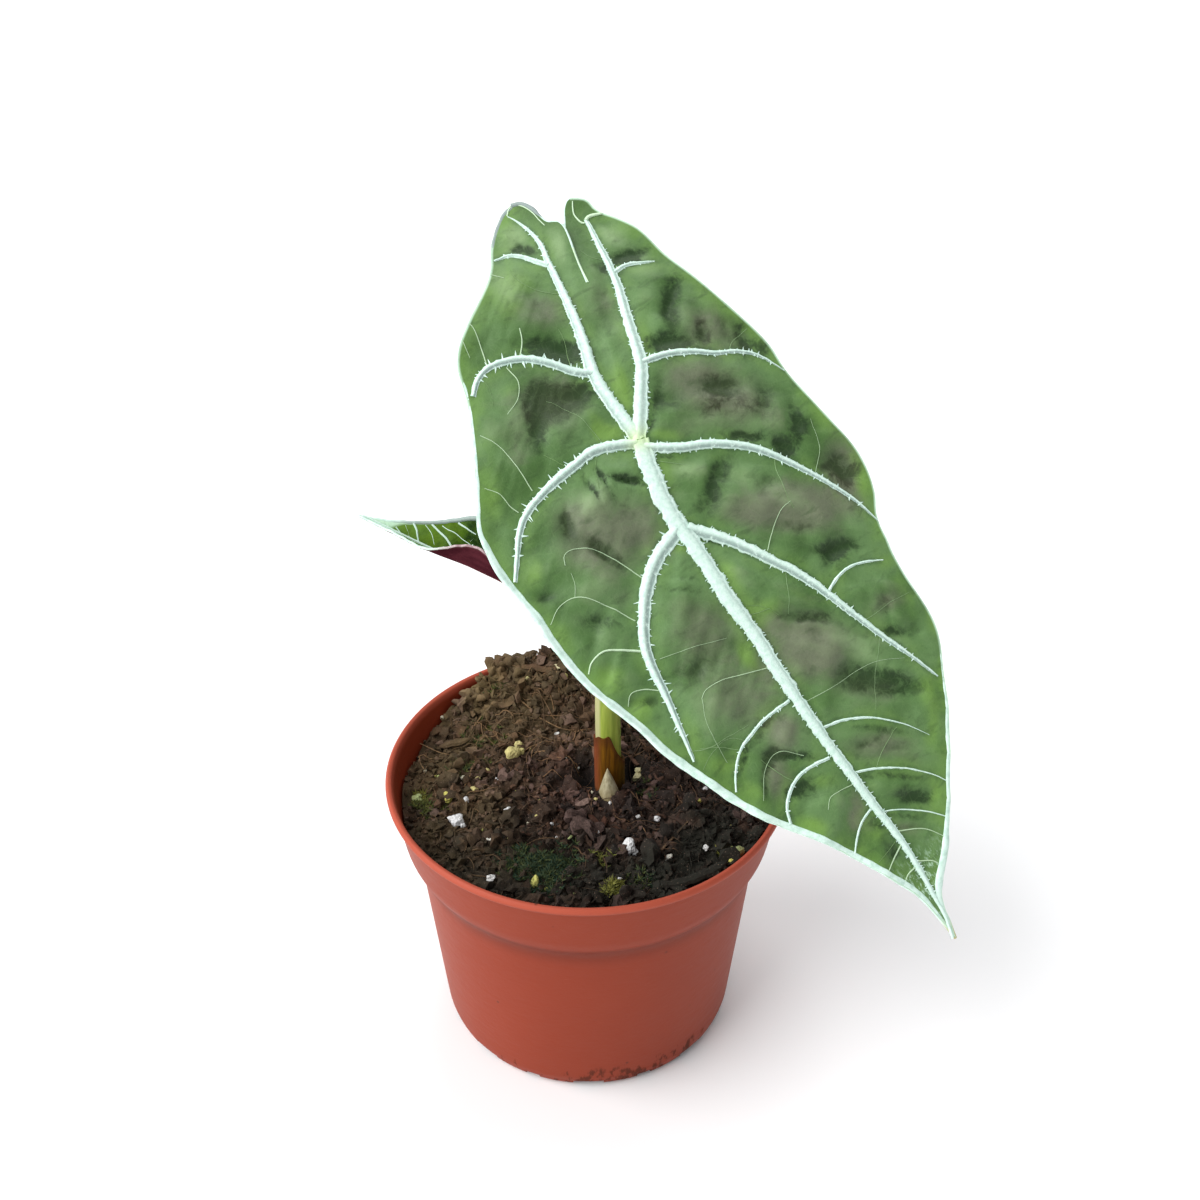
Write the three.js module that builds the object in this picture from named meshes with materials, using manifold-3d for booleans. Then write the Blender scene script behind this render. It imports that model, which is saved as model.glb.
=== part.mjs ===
// A young jewel alocasia in a small nursery pot: one large arrow-shaped leaf with pale raised
// ribs, one small folded leaf behind it, and the new shoot, in a clay-coloured plastic pot.
// Millimetres, +Z up. The origin is the centre of the pot's base, on the surface it stands on.
import * as THREE from 'three';
import { mergeVertices } from 'three/addons/utils/BufferGeometryUtils.js';
import Module from 'manifold-3d';

const wasm = await Module();
wasm.setup();

// Pot
const POT_HEIGHT = 63.5;
const RIM_RADIUS = 42.5;
const LIP_BEAD = 1.4;
const COLLAR_DEPTH = 15.5;
const COLLAR_FOOT_RADIUS = 39.2;
const WALL_TOP_RADIUS = 36.6;
const WALL_FOOT_RADIUS = 32.4;
const WALL = 1.1;
const FOOT_RADIUS = 30.6;
const FOOT_WIDTH = 2.0;
const FLOOR_LIFT = 1.8;
const FLOOR = 1.2;
const HUB_DISC_RADIUS = 9.0;
const POT_SIDES = 40;
const SLOT_COUNT = 16;
const WIDE_SLOT = 6.6;
const NARROW_SLOT = 3.4;
const SLOT_HEIGHT = 1.9;
const UNDER_POT = 1.0;
const THROUGH_FLOOR = 6.0;
const SLOT_INNER_RADIUS = 25.5;
const SLOT_OUTER_RADIUS = FOOT_RADIUS - FOOT_WIDTH - 0.4;

// Space left between pieces that would touch
const GAP = 0.3;

// Soil
const SOIL_LEVEL = 57.0;
const SOIL_SIDES = 32;
const SOIL_RINGS = 9;
const MOUND = { x: -3, y: 33, height: 11.5, wide: 30, deep: 9.5 };
const CROWN_MOUND = { x: 4, y: 2, height: 2.0, wide: 13, deep: 11 };
const CLOD_RELIEF = 0.9;
const SEED = 11;
const EXTRA_CLODS = 8;
// Perlite grains, bark chips and crumbs: where each lies and its size.
const LUMPS = [
  [-15.6, 11.5, 2.6], [-29, -2, 1.6], [-25.4, -3, 1.5], [-27.5, -10, 1.8], [9.2, -18, 1.9],
  [28, -21, 2.0], [-0.6, -10.5, 3.0], [-20, 31, 3.2], [-8, 33, 3.0], [12, 34, 3.1], [-33, 13, 2.6],
  [20, 8, 2.4], [15, -8, 2.2], [-12, -20, 2.1], [6, -32, 2.3], [-18, -30, 2.2], [33, 6, 2.6],
];

// Crown, shoots and stems
const CROWN_X = 5.0;
const CROWN_Y = 0.3;
const CORM_TOP = 49.5;
const CORM_DEPTH = 22;
const CORM_RADIUS = 8.6;
const ROOT_COUNT = 7;
const ROOT_RADIUS = 0.95;
const ROOT_REACH = 24;
const STEM_POINTS = [
  [CROWN_X, 0, CORM_TOP + GAP], [4.7, 0, 64], [4.4, 0.2, 81], [4.9, 3.0, 99], [6.4, 7.4, 117],
  [7.6, 9.4, 127],
];
const SMALL_STEM_POINTS = [[4.6, 5.9, CORM_TOP + GAP], [4.7, 6.1, 62], [4.8, 6.6, 75], [0.2, 12, 83]];
const SHOOT_POINTS = [[5.2, -6.1, CORM_TOP + GAP], [5.2, -6.0, 57], [5.2, -5.0, 64.5]];
const SHOOT_RADIUS = 2.0;
const SHOOT_TIP_RADIUS = 0.25;
const STEM_FOOT_RADIUS = 2.55;
const STEM_MID_RADIUS = 2.65;
const STEM_TOP_RADIUS = 1.75;
const STEM_LAST_RUN = 5.5;
const SMALL_STEM_RADIUS = 1.6;
const SMALL_STEM_TOP_RADIUS = 1.05;
const SMALL_STEM_LAST_RUN = 3.2;
const SHEATH_WALL = 0.65;
const SHEATH_LOW_TOP = 61.5;
const SHEATH_HIGH_TOP = 70.5;
const SHEATH_OPENING = 0.9;
const SHEATH_LEAN = 0.0138;

// Large leaf: where its stalk joins, how the blade faces, and its form in its own plane.
// In the plane, x runs from the stalk to the tip and y to the leaf's right side.
const BLADE = 0.9;
const LEAF_AT = new THREE.Vector3(9.8, 2.0, 140.7);
const LEAF_FACING = 14.0;
const LEAF_PITCH = 45.0;
const LEAF_SWING = 24.5;
const LEAF_LENGTH = 110.5;
const LOBE_LENGTH = 50;
const TIP_DROOP = 12;
const LOBE_DROOP = 7;
const HALF_WIDTH = 35;
const HALF_RISE = 4;
const HALF_DROOP = 6.5;
const QUILT_RISE = 1.3;
const QUILT_REACH = 5.5;
const TIP_FADE = 22;
const LOBE_LIFT = 0.9;
const LOBE_LIFT_AT = 44;
const SLIT_Y = 12;
const SLIT_REACH = 5;
const HUB_DROP = 2.8;
const RIB_STEP = 6.5;
const RIB_RISE = 1.1;
const RIB_CROWN = 0.3;
const RIB_KEEL = 0.6;
const FLANK_DEPTH = 0.85;
const THIN_RIB = 1.5;
const LEAF_CELLS_ALONG = 32;
const LEAF_CELLS_ACROSS = 6;
const LEAF_SLIT_CELLS = 5;
const LEAF_BRIDGE_CELLS = 5;

const MIDRIB = [
  [0, 0], [12.6, -2.7], [27.5, -2.9], [46.4, -2.7], [64.3, -0.9], [80.8, 0.2], [98.9, 1.1], [110.5, -0.1],
];
const SINUS_APEX = [-30.8, 10.1];
const LOBE_BRIDGE = [SINUS_APEX, [-21.7, 8], [-11, 4.5], [0, 0]];
const LEFT_SLIT = [[-52.9, 8.5], [-49.8, 10.9], [-46.1, 11.8], [-43.1, 13.2], [-37.8, 11.9], SINUS_APEX];
const RIGHT_SLIT = [[-48.1, 18.6], [-47.2, 16.9], [-45.1, 15.4], [-41.8, 14.4], [-37.6, 12.9], SINUS_APEX];
const LEFT_MARGIN = [
  [-52.9, 8.5], [-50.7, 3.5], [-42.4, -4.1], [-35.8, -13.5], [-29, -20.3], [-23.3, -21.9], [-10.5, -29.4],
  [1.7, -35.2], [11.4, -34.7], [30.4, -33], [40.6, -30.4], [54.4, -27.2], [73, -17.4], [90, -7],
  [99.9, -2.2], [110.5, -0.1],
];
const RIGHT_MARGIN = [
  [-48.1, 18.6], [-44.8, 21.4], [-35.4, 25.9], [-27.7, 27], [-14.5, 30.2], [-2.7, 33.8], [2.6, 33.1],
  [11.4, 33.9], [24.2, 36.7], [32.1, 35.1], [36.7, 32.2], [48.4, 29.9], [59.8, 29.7], [67.8, 26.3],
  [79.6, 18.9], [89.9, 11.2], [98.9, 2.9], [103.7, 1.7], [110.5, -0.1],
];
// Each vein: its width at the root and at the end, and its path from the root.
const VEINS = [
  { root: 3.3, end: 0.8, path: MIDRIB },
  {
    root: 2.6, end: 0.8,
    path: [
      [0, 0], [-9.6, 0.7], [-15.6, 0.9], [-22.9, 3.8], [-29.9, 4.8], [-37.1, 5.9], [-42.3, 7.7], [-51, 6.4],
    ],
  },
  {
    root: 2.6, end: 0.8,
    path: [[0, 0], [-5.8, 4.8], [-12.7, 9.2], [-20.5, 12], [-29.9, 15.6], [-36.4, 16.8], [-46.6, 18]],
  },
  {
    root: 2.1, end: 0.8,
    path: [[0, 0], [-2.6, -6.7], [-2.8, -11.8], [-2.1, -18.3], [1.3, -27.1], [9, -33.8]],
  },
  {
    root: 2.1, end: 0.8,
    path: [[0, 0], [6.9, 8.7], [10.8, 15.6], [14.8, 19.7], [22, 25.6], [28.3, 29.6], [35.8, 31.6]],
  },
  {
    root: 1.8, end: 0.8,
    path: [[-15.6, 0.9], [-19.3, -4.4], [-23.9, -9.1], [-25.5, -14], [-23.9, -20.8]],
  },
  {
    root: 1.8, end: 0.8,
    path: [[-12.7, 9.2], [-10.9, 14.8], [-8.4, 19.9], [-5.3, 26.1], [-2.6, 29.4], [1.4, 32.1]],
  },
  { root: 1.1, end: 0.7, path: [[-39, 6.2], [-43.6, 1.9], [-44.3, -1.5]] },
  { root: 1.1, end: 0.7, path: [[-29.9, 15.6], [-30.4, 20.3], [-28.8, 25.6]] },
  {
    root: 2.1, end: 0.8,
    path: [[17, -2.8], [19.4, -9.1], [23.1, -14], [27.7, -18.4], [33, -21.1], [39.9, -22.8], [54.2, -25.9]],
  },
  {
    root: 2.0, end: 0.8,
    path: [[17, -2.8], [23.1, 3.2], [30.5, 8.4], [42.9, 14.5], [51.4, 18], [58.7, 20.5], [67.2, 24.6]],
  },
  { root: 1.1, end: 0.7, path: [[42, 14.2], [41.5, 19.5], [44.1, 28.5]] },
  { root: 1.4, end: 0.7, path: [[54, -2], [56.3, -10.1], [58, -16.1], [63, -20.9]] },
  { root: 1.4, end: 0.7, path: [[62.5, -1], [64.9, 4.5], [68, 9.9], [71.6, 13.7], [77.4, 18.2]] },
  { root: 1.2, end: 0.7, path: [[67, -0.7], [67.9, -8.5], [69, -12.9], [73.6, -15.8]] },
  { root: 1.2, end: 0.7, path: [[72.5, -0.4], [76.2, 5.5], [80, 10.5], [84.4, 14.2]] },
  { root: 1.0, end: 0.7, path: [[80, 0.1], [82.9, -5.1], [85.3, -8.3]] },
  { root: 1.0, end: 0.7, path: [[81.7, 0.2], [85.2, 5.8], [88.8, 10.2]] },
];

// Small leaf: folded along its midrib like a trough, tip to the left.
const SMALL_AT = new THREE.Vector3(-6.5, 18, 92);
const SMALL_HEADING = 163.8;
const SMALL_CLIMB = 20.4;
const SMALL_LENGTH = 45.8;
const SMALL_HALF_WIDTH = 13;
const SMALL_LOBE = 15;
const SMALL_BRIDGE = 6;
const SMALL_SLIT = 1.6;
const SMALL_HUB_DROP = 2.1;
const KEEL_HALF_WIDTH = 1.2;
const KEEL_DEPTH = 1.5;
const SMALL_SAG = 2.0;
const SMALL_NEAR_FOLD = 62;
const SMALL_NEAR_TIP_FOLD = 35;
const SMALL_FAR_FOLD = 50;
const SMALL_BLADE = 0.7;
const SMALL_CELLS_ALONG = 15;
const SMALL_CELLS_ACROSS = 3;
const SMALL_CURL = 0.1;
const SMALL_CURL_PERIOD = 18;
const SMALL_RIB_ROOTS = [2, 12, 22, 31];
const SMALL_RIB_STAGGER = 0.7;
const SMALL_RIB_RISE = 0.9;
// Half width at each distance along the midrib from the stalk, lobes first.
const SMALL_WIDTHS = [
  [-15, 0], [-13.5, 4.2], [-9, 8.6], [-2, 11.8], [5, 13.2], [12, 13.2], [18, 12.2],
  [24, 10.2], [29, 7.8], [35, 4.6], [40, 2], [45.8, 0],
];

// Spots of a finished piece that lie closer than this become one.
const CLOSEST_SPOTS = 1e-3;

const COLOURS = {
  pot: ['#b4553d', 0.45],
  soil: ['#3a2a20', 0.95],
  corm: ['#7a5a3c', 0.8],
  sheath: ['#8a5a2c', 0.6],
  large_stem: ['#93a83e', 0.4],
  small_stem: ['#93a83e', 0.4],
  new_shoot: ['#cfd3b8', 0.5],
  large_leaf: ['#4f7a3c', 0.35],
  small_leaf: ['#4f7a3c', 0.35],
};

// Random numbers that repeat from run to run.
function randomSource(seed) {
  let state = seed;
  return () => {
    state = (state * 1664525 + 1013904223) % 4294967296;
    return state / 4294967296;
  };
}

// One welded closed mesh with only positions, without collapsed triangles.
function weld(geometry, tolerance = 1e-4) {
  const bare = geometry.clone();
  bare.deleteAttribute('normal');
  bare.deleteAttribute('uv');
  const merged = mergeVertices(bare, tolerance);
  const old = merged.index.array;
  const kept = [];
  for (let i = 0; i < old.length; i += 3) {
    const [a, b, c] = [old[i], old[i + 1], old[i + 2]];
    if (a !== b && b !== c && a !== c) {
      kept.push(a, b, c);
    }
  }
  merged.setIndex(kept);
  return merged;
}

function toSolid(geometry) {
  const welded = weld(geometry);
  const mesh = new wasm.Mesh({
    numProp: 3,
    vertProperties: new Float32Array(welded.attributes.position.array),
    triVerts: new Uint32Array(welded.index.array),
  });
  return new wasm.Manifold(mesh);
}

function toGeometry(solid) {
  const mesh = solid.getMesh();
  const geometry = new THREE.BufferGeometry();
  geometry.setAttribute('position', new THREE.BufferAttribute(new Float32Array(mesh.vertProperties), 3));
  geometry.setIndex(new THREE.BufferAttribute(new Uint32Array(mesh.triVerts), 1));
  return weld(geometry, CLOSEST_SPOTS);
}

function joinAll(first, others) {
  return others.reduce((whole, piece) => whole.add(piece), first);
}

function smoothStep(low, high, value) {
  const t = THREE.MathUtils.clamp((value - low) / (high - low), 0, 1);
  return t * t * (3 - 2 * t);
}

// Points spread evenly along a smooth curve through flat control points.
function flatCurve(points, count) {
  const spots = points.map(([x, y]) => new THREE.Vector3(x, y, 0));
  return new THREE.CatmullRomCurve3(spots, false, 'centripetal').getSpacedPoints(count);
}

function lathe(profile, sides) {
  const points = profile.map(([r, z]) => new THREE.Vector2(r, z));
  return new THREE.LatheGeometry(points, sides).rotateX(Math.PI / 2);
}

// A round bar bent along a curve, with a radius given at each share of its length.
function bentBar(points, radiusAt, sides, steps) {
  const places = points.map((point) => new THREE.Vector3(...point));
  const curve = new THREE.CatmullRomCurve3(places, false, 'centripetal');
  const frames = curve.computeFrenetFrames(steps, false);
  const bar = new THREE.CylinderGeometry(1, 1, 1, sides, steps);
  const spots = bar.attributes.position;
  const spot = new THREE.Vector3();
  for (let i = 0; i < spots.count; i += 1) {
    spot.fromBufferAttribute(spots, i);
    const step = Math.round((spot.y + 0.5) * steps);
    const radius = radiusAt(step / steps);
    const place = curve.getPointAt(step / steps);
    place.addScaledVector(frames.normals[step], spot.x * radius);
    place.addScaledVector(frames.binormals[step], -spot.z * radius);
    spots.setXYZ(i, place.x, place.y, place.z);
  }
  return bar;
}

// Pot: lip bead, collar with a soft step under it, tapered wall, foot ring and raised floor.
function potProfile() {
  const collarFoot = POT_HEIGHT - COLLAR_DEPTH;
  const outer = [
    [0, 0], [HUB_DISC_RADIUS, 0], [HUB_DISC_RADIUS + 1.2, FLOOR_LIFT],
    [SLOT_OUTER_RADIUS, FLOOR_LIFT], [FOOT_RADIUS - FOOT_WIDTH, 0], [FOOT_RADIUS, 0],
    [WALL_FOOT_RADIUS - 0.7, 0.8], [WALL_FOOT_RADIUS, 3], [WALL_TOP_RADIUS, collarFoot - 1.6],
    [COLLAR_FOOT_RADIUS - 0.9, collarFoot - 0.9], [COLLAR_FOOT_RADIUS, collarFoot + 0.6],
    [RIM_RADIUS - 1.2, POT_HEIGHT - LIP_BEAD - 0.7], [RIM_RADIUS - 0.1, POT_HEIGHT - LIP_BEAD],
  ];
  const lip = [
    [RIM_RADIUS, POT_HEIGHT - LIP_BEAD / 2], [RIM_RADIUS - 0.4, POT_HEIGHT - 0.15],
    [RIM_RADIUS - LIP_BEAD / 2, POT_HEIGHT], [RIM_RADIUS - LIP_BEAD, POT_HEIGHT - 0.2],
  ];
  return [...outer, ...lip, ...innerWall(0).reverse(), [HUB_DISC_RADIUS - 0.6, FLOOR], [0, FLOOR]];
}

// The inner wall from the floor up, moved inward by the given clearance.
function innerWall(clearance) {
  const collarFoot = POT_HEIGHT - COLLAR_DEPTH;
  const floorTop = FLOOR_LIFT + FLOOR;
  return [
    [HUB_DISC_RADIUS + 0.6 - clearance, floorTop + clearance],
    [WALL_FOOT_RADIUS - WALL - 1.6 - clearance, floorTop + clearance],
    [WALL_FOOT_RADIUS - WALL - clearance, floorTop + 1.8 + clearance],
    [WALL_TOP_RADIUS - WALL - clearance, collarFoot - 1.0],
    [COLLAR_FOOT_RADIUS - WALL - clearance, collarFoot + 0.8],
    [RIM_RADIUS - LIP_BEAD - WALL * 0.4 - clearance, POT_HEIGHT - 1.6],
  ];
}

function pot() {
  let solid = toSolid(lathe(potProfile(), POT_SIDES));
  for (let i = 0; i < SLOT_COUNT; i += 1) {
    const width = i % 2 === 0 ? WIDE_SLOT : NARROW_SLOT;
    const turn = -Math.PI / 2 + (i * 2 * Math.PI) / SLOT_COUNT;
    solid = solid.subtract(slotBox(RIM_RADIUS, SLOT_HEIGHT, width, turn));
    solid = solid.subtract(slotBox(SLOT_OUTER_RADIUS, THROUGH_FLOOR, width, turn));
  }
  return toGeometry(solid);
}

// A box that cuts upward from under the pot, between the slots' inner radius and the given one.
function slotBox(outerRadius, high, width, turn) {
  const box = new THREE.BoxGeometry(outerRadius - SLOT_INNER_RADIUS, width, high + UNDER_POT);
  box.translate((SLOT_INNER_RADIUS + outerRadius) / 2, 0, (high - UNDER_POT) / 2);
  return toSolid(box.rotateZ(turn));
}

// Soil: a heap against the back wall, a low mound round the crown, and seeded clods.
function heapHeight(heap, x, y) {
  return heap.height * Math.exp(-(((x - heap.x) / heap.wide) ** 2) - ((y - heap.y) / heap.deep) ** 2);
}

function soilHeight(x, y) {
  const clods = Math.sin(x * 0.61 + 1.3) * Math.cos(y * 0.53 - 0.4) + 0.6 * Math.sin(x * 1.27 - y * 0.9);
  return SOIL_LEVEL + heapHeight(MOUND, x, y) + heapHeight(CROWN_MOUND, x, y) + CLOD_RELIEF * clods * 0.6;
}

function soilBody() {
  const wall = innerWall(GAP);
  const edgeRadius = RIM_RADIUS - LIP_BEAD - WALL - GAP;
  const rings = [];
  for (let i = 0; i < SOIL_RINGS; i += 1) {
    rings.push([edgeRadius * (1 - i / SOIL_RINGS) - (i === 0 ? 0.4 : 0), SOIL_LEVEL]);
  }
  const foot = [[0, FLOOR + GAP], [HUB_DISC_RADIUS - 0.6 - GAP, FLOOR + GAP]];
  const body = lathe([...foot, ...wall.slice(0, 5), ...rings, [0, SOIL_LEVEL]], SOIL_SIDES);
  const spots = body.attributes.position;
  for (let i = 0; i < spots.count; i += 1) {
    if (spots.getZ(i) === SOIL_LEVEL) {
      spots.setZ(i, soilHeight(spots.getX(i), spots.getY(i)));
    }
  }
  return toSolid(body);
}

// The lumps, with a few more strewn at random, sunk into the surface.
function soilLumps() {
  const random = randomSource(SEED);
  const lumps = [];
  const placed = [...LUMPS];
  for (let i = 0; i < EXTRA_CLODS; i += 1) {
    const angle = random() * 2 * Math.PI;
    const reach = 14 + random() * 21;
    placed.push([reach * Math.cos(angle), reach * Math.sin(angle), 1.3 + random()]);
  }
  for (const [x, y, size] of placed) {
    const lump = new THREE.IcosahedronGeometry(size, 0);
    lump.scale(0.8 + 0.6 * random(), 0.8 + 0.4 * random(), 0.7 + 0.3 * random());
    lump.rotateZ(random() * Math.PI);
    lump.rotateX(random() - 0.5);
    lump.translate(x, y, soilHeight(x, y) + size * 0.15);
    lumps.push(toSolid(lump));
  }
  return lumps;
}

// Corm with its roots, grown by the given clearance when it cuts the hole that it lies in.
function cormBody(clearance) {
  const low = CORM_TOP - CORM_DEPTH;
  const profile = [
    [0, low - clearance], [CORM_RADIUS * 0.45 + clearance, low - clearance],
    [CORM_RADIUS * 0.9 + clearance, low + 6], [CORM_RADIUS + clearance, low + 14],
    [CORM_RADIUS * 0.98 + clearance, CORM_TOP + clearance], [0, CORM_TOP + clearance],
  ];
  const corm = lathe(profile, 14);
  corm.translate(CROWN_X, CROWN_Y, 0);
  const roots = [];
  for (let i = 0; i < ROOT_COUNT; i += 1) {
    roots.push(root(i, clearance));
  }
  return joinAll(toSolid(corm), roots);
}

function root(index, clearance) {
  const turn = (index * 2 * Math.PI) / ROOT_COUNT + 0.4;
  const start = CORM_TOP - 6 - (index % 3) * 4;
  const reach = ROOT_REACH - (index % 2) * 4;
  const end = 12 + (index % 3) * 6;
  const at = (r, z) => [CROWN_X * (1 - r / 26) + r * Math.cos(turn), CROWN_Y + r * Math.sin(turn), z];
  const path = [at(4, start), at(11, start - 2), at(reach * 0.75, start - 9), at(reach, end - clearance)];
  return toSolid(bentBar(path, (t) => ROOT_RADIUS * (1 - 0.45 * t) + clearance, 5, 5));
}

function stemPath() {
  const { normal } = leafAxes();
  const end = LEAF_AT.clone().addScaledVector(normal, -(HUB_DROP + GAP));
  const bend = end.clone().addScaledVector(normal, -STEM_LAST_RUN);
  return [...STEM_POINTS, bend.toArray(), end.toArray()];
}

function stemRadius(t) {
  const lower = THREE.MathUtils.lerp(STEM_FOOT_RADIUS, STEM_MID_RADIUS, smoothStep(0, 0.25, t));
  return THREE.MathUtils.lerp(lower, STEM_TOP_RADIUS, smoothStep(0.3, 1, t));
}

function smallStemPath() {
  const { normal } = smallAxes();
  const end = SMALL_AT.clone().addScaledVector(normal, -(SMALL_HUB_DROP + GAP));
  const bend = end.clone().addScaledVector(normal, -SMALL_STEM_LAST_RUN);
  return [...SMALL_STEM_POINTS, bend.toArray(), end.toArray()];
}

function smallStemRadius(t) {
  return THREE.MathUtils.lerp(SMALL_STEM_RADIUS, SMALL_STEM_TOP_RADIUS, t);
}

// Papery sheath round the foot of the large stem, open at the back, with a slanted top.
function sheath() {
  const inner = STEM_MID_RADIUS + GAP;
  const from = Math.PI / 2 + SHEATH_OPENING;
  const to = 2.5 * Math.PI - SHEATH_OPENING;
  const shape = new THREE.Shape();
  shape.absarc(0, 0, inner + SHEATH_WALL, from, to, false);
  shape.absarc(0, 0, inner, to, from, true);
  const low = CORM_TOP + GAP;
  const wrap = new THREE.ExtrudeGeometry(shape, { depth: 1, bevelEnabled: false, curveSegments: 12 });
  const spots = wrap.attributes.position;
  for (let i = 0; i < spots.count; i += 1) {
    const side = (1 + spots.getX(i) / (inner + SHEATH_WALL)) / 2;
    const top = THREE.MathUtils.lerp(SHEATH_HIGH_TOP, SHEATH_LOW_TOP, side);
    const height = spots.getZ(i) > 0.5 ? top : low;
    const lean = (height - low) * SHEATH_LEAN;
    spots.setXYZ(i, spots.getX(i) + CROWN_X - lean, spots.getY(i), height);
  }
  return toGeometry(toSolid(wrap));
}

function newShootRadius(t) {
  return (SHOOT_RADIUS - SHOOT_TIP_RADIUS) * (1 - t ** 2.2) + SHOOT_TIP_RADIUS;
}

// A hole in the soil for a stem, from inside the corm's own hole up past the surface.
function stemHole(path, radius) {
  const longer = [[path[0][0], path[0][1], CORM_TOP - 3], ...path];
  return toSolid(bentBar(longer, () => radius + GAP, 10, 4));
}

function soil() {
  let solid = joinAll(soilBody(), soilLumps());
  solid = solid.subtract(cormBody(GAP));
  solid = solid.subtract(stemHole(STEM_POINTS.slice(0, 3), STEM_MID_RADIUS + GAP + SHEATH_WALL));
  solid = solid.subtract(stemHole(SMALL_STEM_POINTS.slice(0, 3), SMALL_STEM_RADIUS));
  solid = solid.subtract(stemHole(SHOOT_POINTS, SHOOT_RADIUS));
  return toGeometry(largestPiece(solid));
}

function largestPiece(solid) {
  const pieces = solid.decompose();
  return pieces.reduce((best, piece) => (piece.volume() > best.volume() ? piece : best));
}

// Axes of the large leaf: along to the tip, across to its right side, and out of its face.
function leafAxes() {
  const facing = THREE.MathUtils.degToRad(LEAF_FACING);
  const pitch = THREE.MathUtils.degToRad(LEAF_PITCH);
  const swing = THREE.MathUtils.degToRad(LEAF_SWING);
  const normal = new THREE.Vector3(
    Math.sin(facing) * Math.cos(pitch), -Math.cos(facing) * Math.cos(pitch), Math.sin(pitch),
  );
  const down = new THREE.Vector3(
    Math.sin(facing) * Math.sin(pitch), -Math.cos(facing) * Math.sin(pitch), -Math.cos(pitch),
  );
  const level = new THREE.Vector3(Math.cos(facing), Math.sin(facing), 0);
  const along = down.multiplyScalar(Math.cos(swing)).addScaledVector(level, Math.sin(swing));
  return { along, across: normal.clone().cross(along), normal };
}

function smallAxes() {
  const heading = THREE.MathUtils.degToRad(SMALL_HEADING);
  const climb = THREE.MathUtils.degToRad(SMALL_CLIMB);
  const along = new THREE.Vector3(
    Math.cos(heading) * Math.cos(climb), Math.sin(heading) * Math.cos(climb), Math.sin(climb),
  );
  const level = new THREE.Vector3(-Math.sin(heading), Math.cos(heading), 0);
  return { along, across: level, normal: along.clone().cross(level) };
}

// How far each spot of the blade lies from the nearest vein, in the blade's plane.
const veinSpots = VEINS.flatMap(({ path }) => flatCurve(path, 40));

function veinDistance(x, y) {
  return veinSpots.reduce((least, spot) => Math.min(least, Math.hypot(spot.x - x, spot.y - y)), 99);
}

// Height of the blade over its plane: arched along, drooping halves, quilted between veins.
function bladeForm(x, y) {
  const arch = x > 0 ? -TIP_DROOP * (x / LEAF_LENGTH) ** 2 : -LOBE_DROOP * (x / LOBE_LENGTH) ** 2;
  const out = Math.abs(y) / HALF_WIDTH;
  return arch + HALF_RISE * out - HALF_DROOP * out * out;
}

function leafHeight(x, y, side) {
  const quilt = QUILT_RISE * (1 - Math.exp(-((veinDistance(x, y) / QUILT_REACH) ** 2)));
  const awayFromTip = 1 - smoothStep(LEAF_LENGTH - TIP_FADE, LEAF_LENGTH, x);
  const lobes = smoothStep(-SINUS_APEX[0], LOBE_LIFT_AT, -x);
  const overlap = LOBE_LIFT * lobes * Math.exp(-(((y - SLIT_Y) / SLIT_REACH) ** 2));
  return bladeForm(x, y) + quilt * awayFromTip - side * overlap;
}

// Both halves of a blade as one closed thin plate. A half is a lens between an inner and an
// outer line that share both ends. The halves are joined along the inner line after its slit rows.
function plate(halves, thickness) {
  const spots = [];
  const faces = [];
  for (const { inner, outer, slitRows, cells, height, side } of halves) {
    const base = spots.length / 3;
    const rows = inner.length;
    const columns = cells + 1;
    for (const drop of [0, thickness]) {
      for (let i = 0; i < rows; i += 1) {
        for (let j = 0; j < columns; j += 1) {
          const spot = inner[i].clone().lerp(outer[i], j / cells);
          spots.push(...height(spot.x, spot.y, drop));
        }
      }
    }
    const at = (layer, i, j) => base + layer * rows * columns + i * columns + j;
    const face = (a, b, c) => faces.push(...(side > 0 ? [a, b, c] : [a, c, b]));
    for (let i = 0; i < rows - 1; i += 1) {
      for (let j = 0; j < cells; j += 1) {
        face(at(0, i, j), at(0, i + 1, j), at(0, i + 1, j + 1));
        face(at(0, i, j), at(0, i + 1, j + 1), at(0, i, j + 1));
        face(at(1, i, j), at(1, i + 1, j + 1), at(1, i + 1, j));
        face(at(1, i, j), at(1, i, j + 1), at(1, i + 1, j + 1));
      }
      face(at(0, i, cells), at(0, i + 1, cells), at(1, i + 1, cells));
      face(at(0, i, cells), at(1, i + 1, cells), at(1, i, cells));
      if (i < slitRows) {
        face(at(0, i, 0), at(1, i + 1, 0), at(0, i + 1, 0));
        face(at(0, i, 0), at(1, i, 0), at(1, i + 1, 0));
      }
    }
  }
  const geometry = new THREE.BufferGeometry();
  geometry.setAttribute('position', new THREE.Float32BufferAttribute(spots, 3));
  geometry.setIndex(faces);
  return geometry;
}

// One rib laid along a flat path on a blade: it stands a little over the face and well below it.
function rib(path, { root, end, steps, surface, over, under, turn = 1 }) {
  const line = flatCurve(path, steps);
  const sides = root > THIN_RIB ? 6 : 4;
  const bar = new THREE.CylinderGeometry(1, 1, 1, sides, steps);
  const spots = bar.attributes.position;
  for (let i = 0; i < spots.count; i += 1) {
    const step = Math.round((spots.getY(i) + 0.5) * steps);
    const here = line[step];
    const ahead = line[Math.min(step + 1, steps)];
    const behind = line[Math.max(step - 1, 0)];
    const heading = ahead.clone().sub(behind).normalize();
    const width = THREE.MathUtils.lerp(root, end, step / steps);
    const shift = (turn * spots.getX(i) * width) / 2;
    const lift = ribLift(spots.getZ(i), over, under * width);
    const [x, y, z] = surface(here.x + heading.y * shift, here.y - heading.x * shift, here);
    spots.setXYZ(i, x, y, z + lift);
  }
  return toSolid(bar);
}

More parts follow.
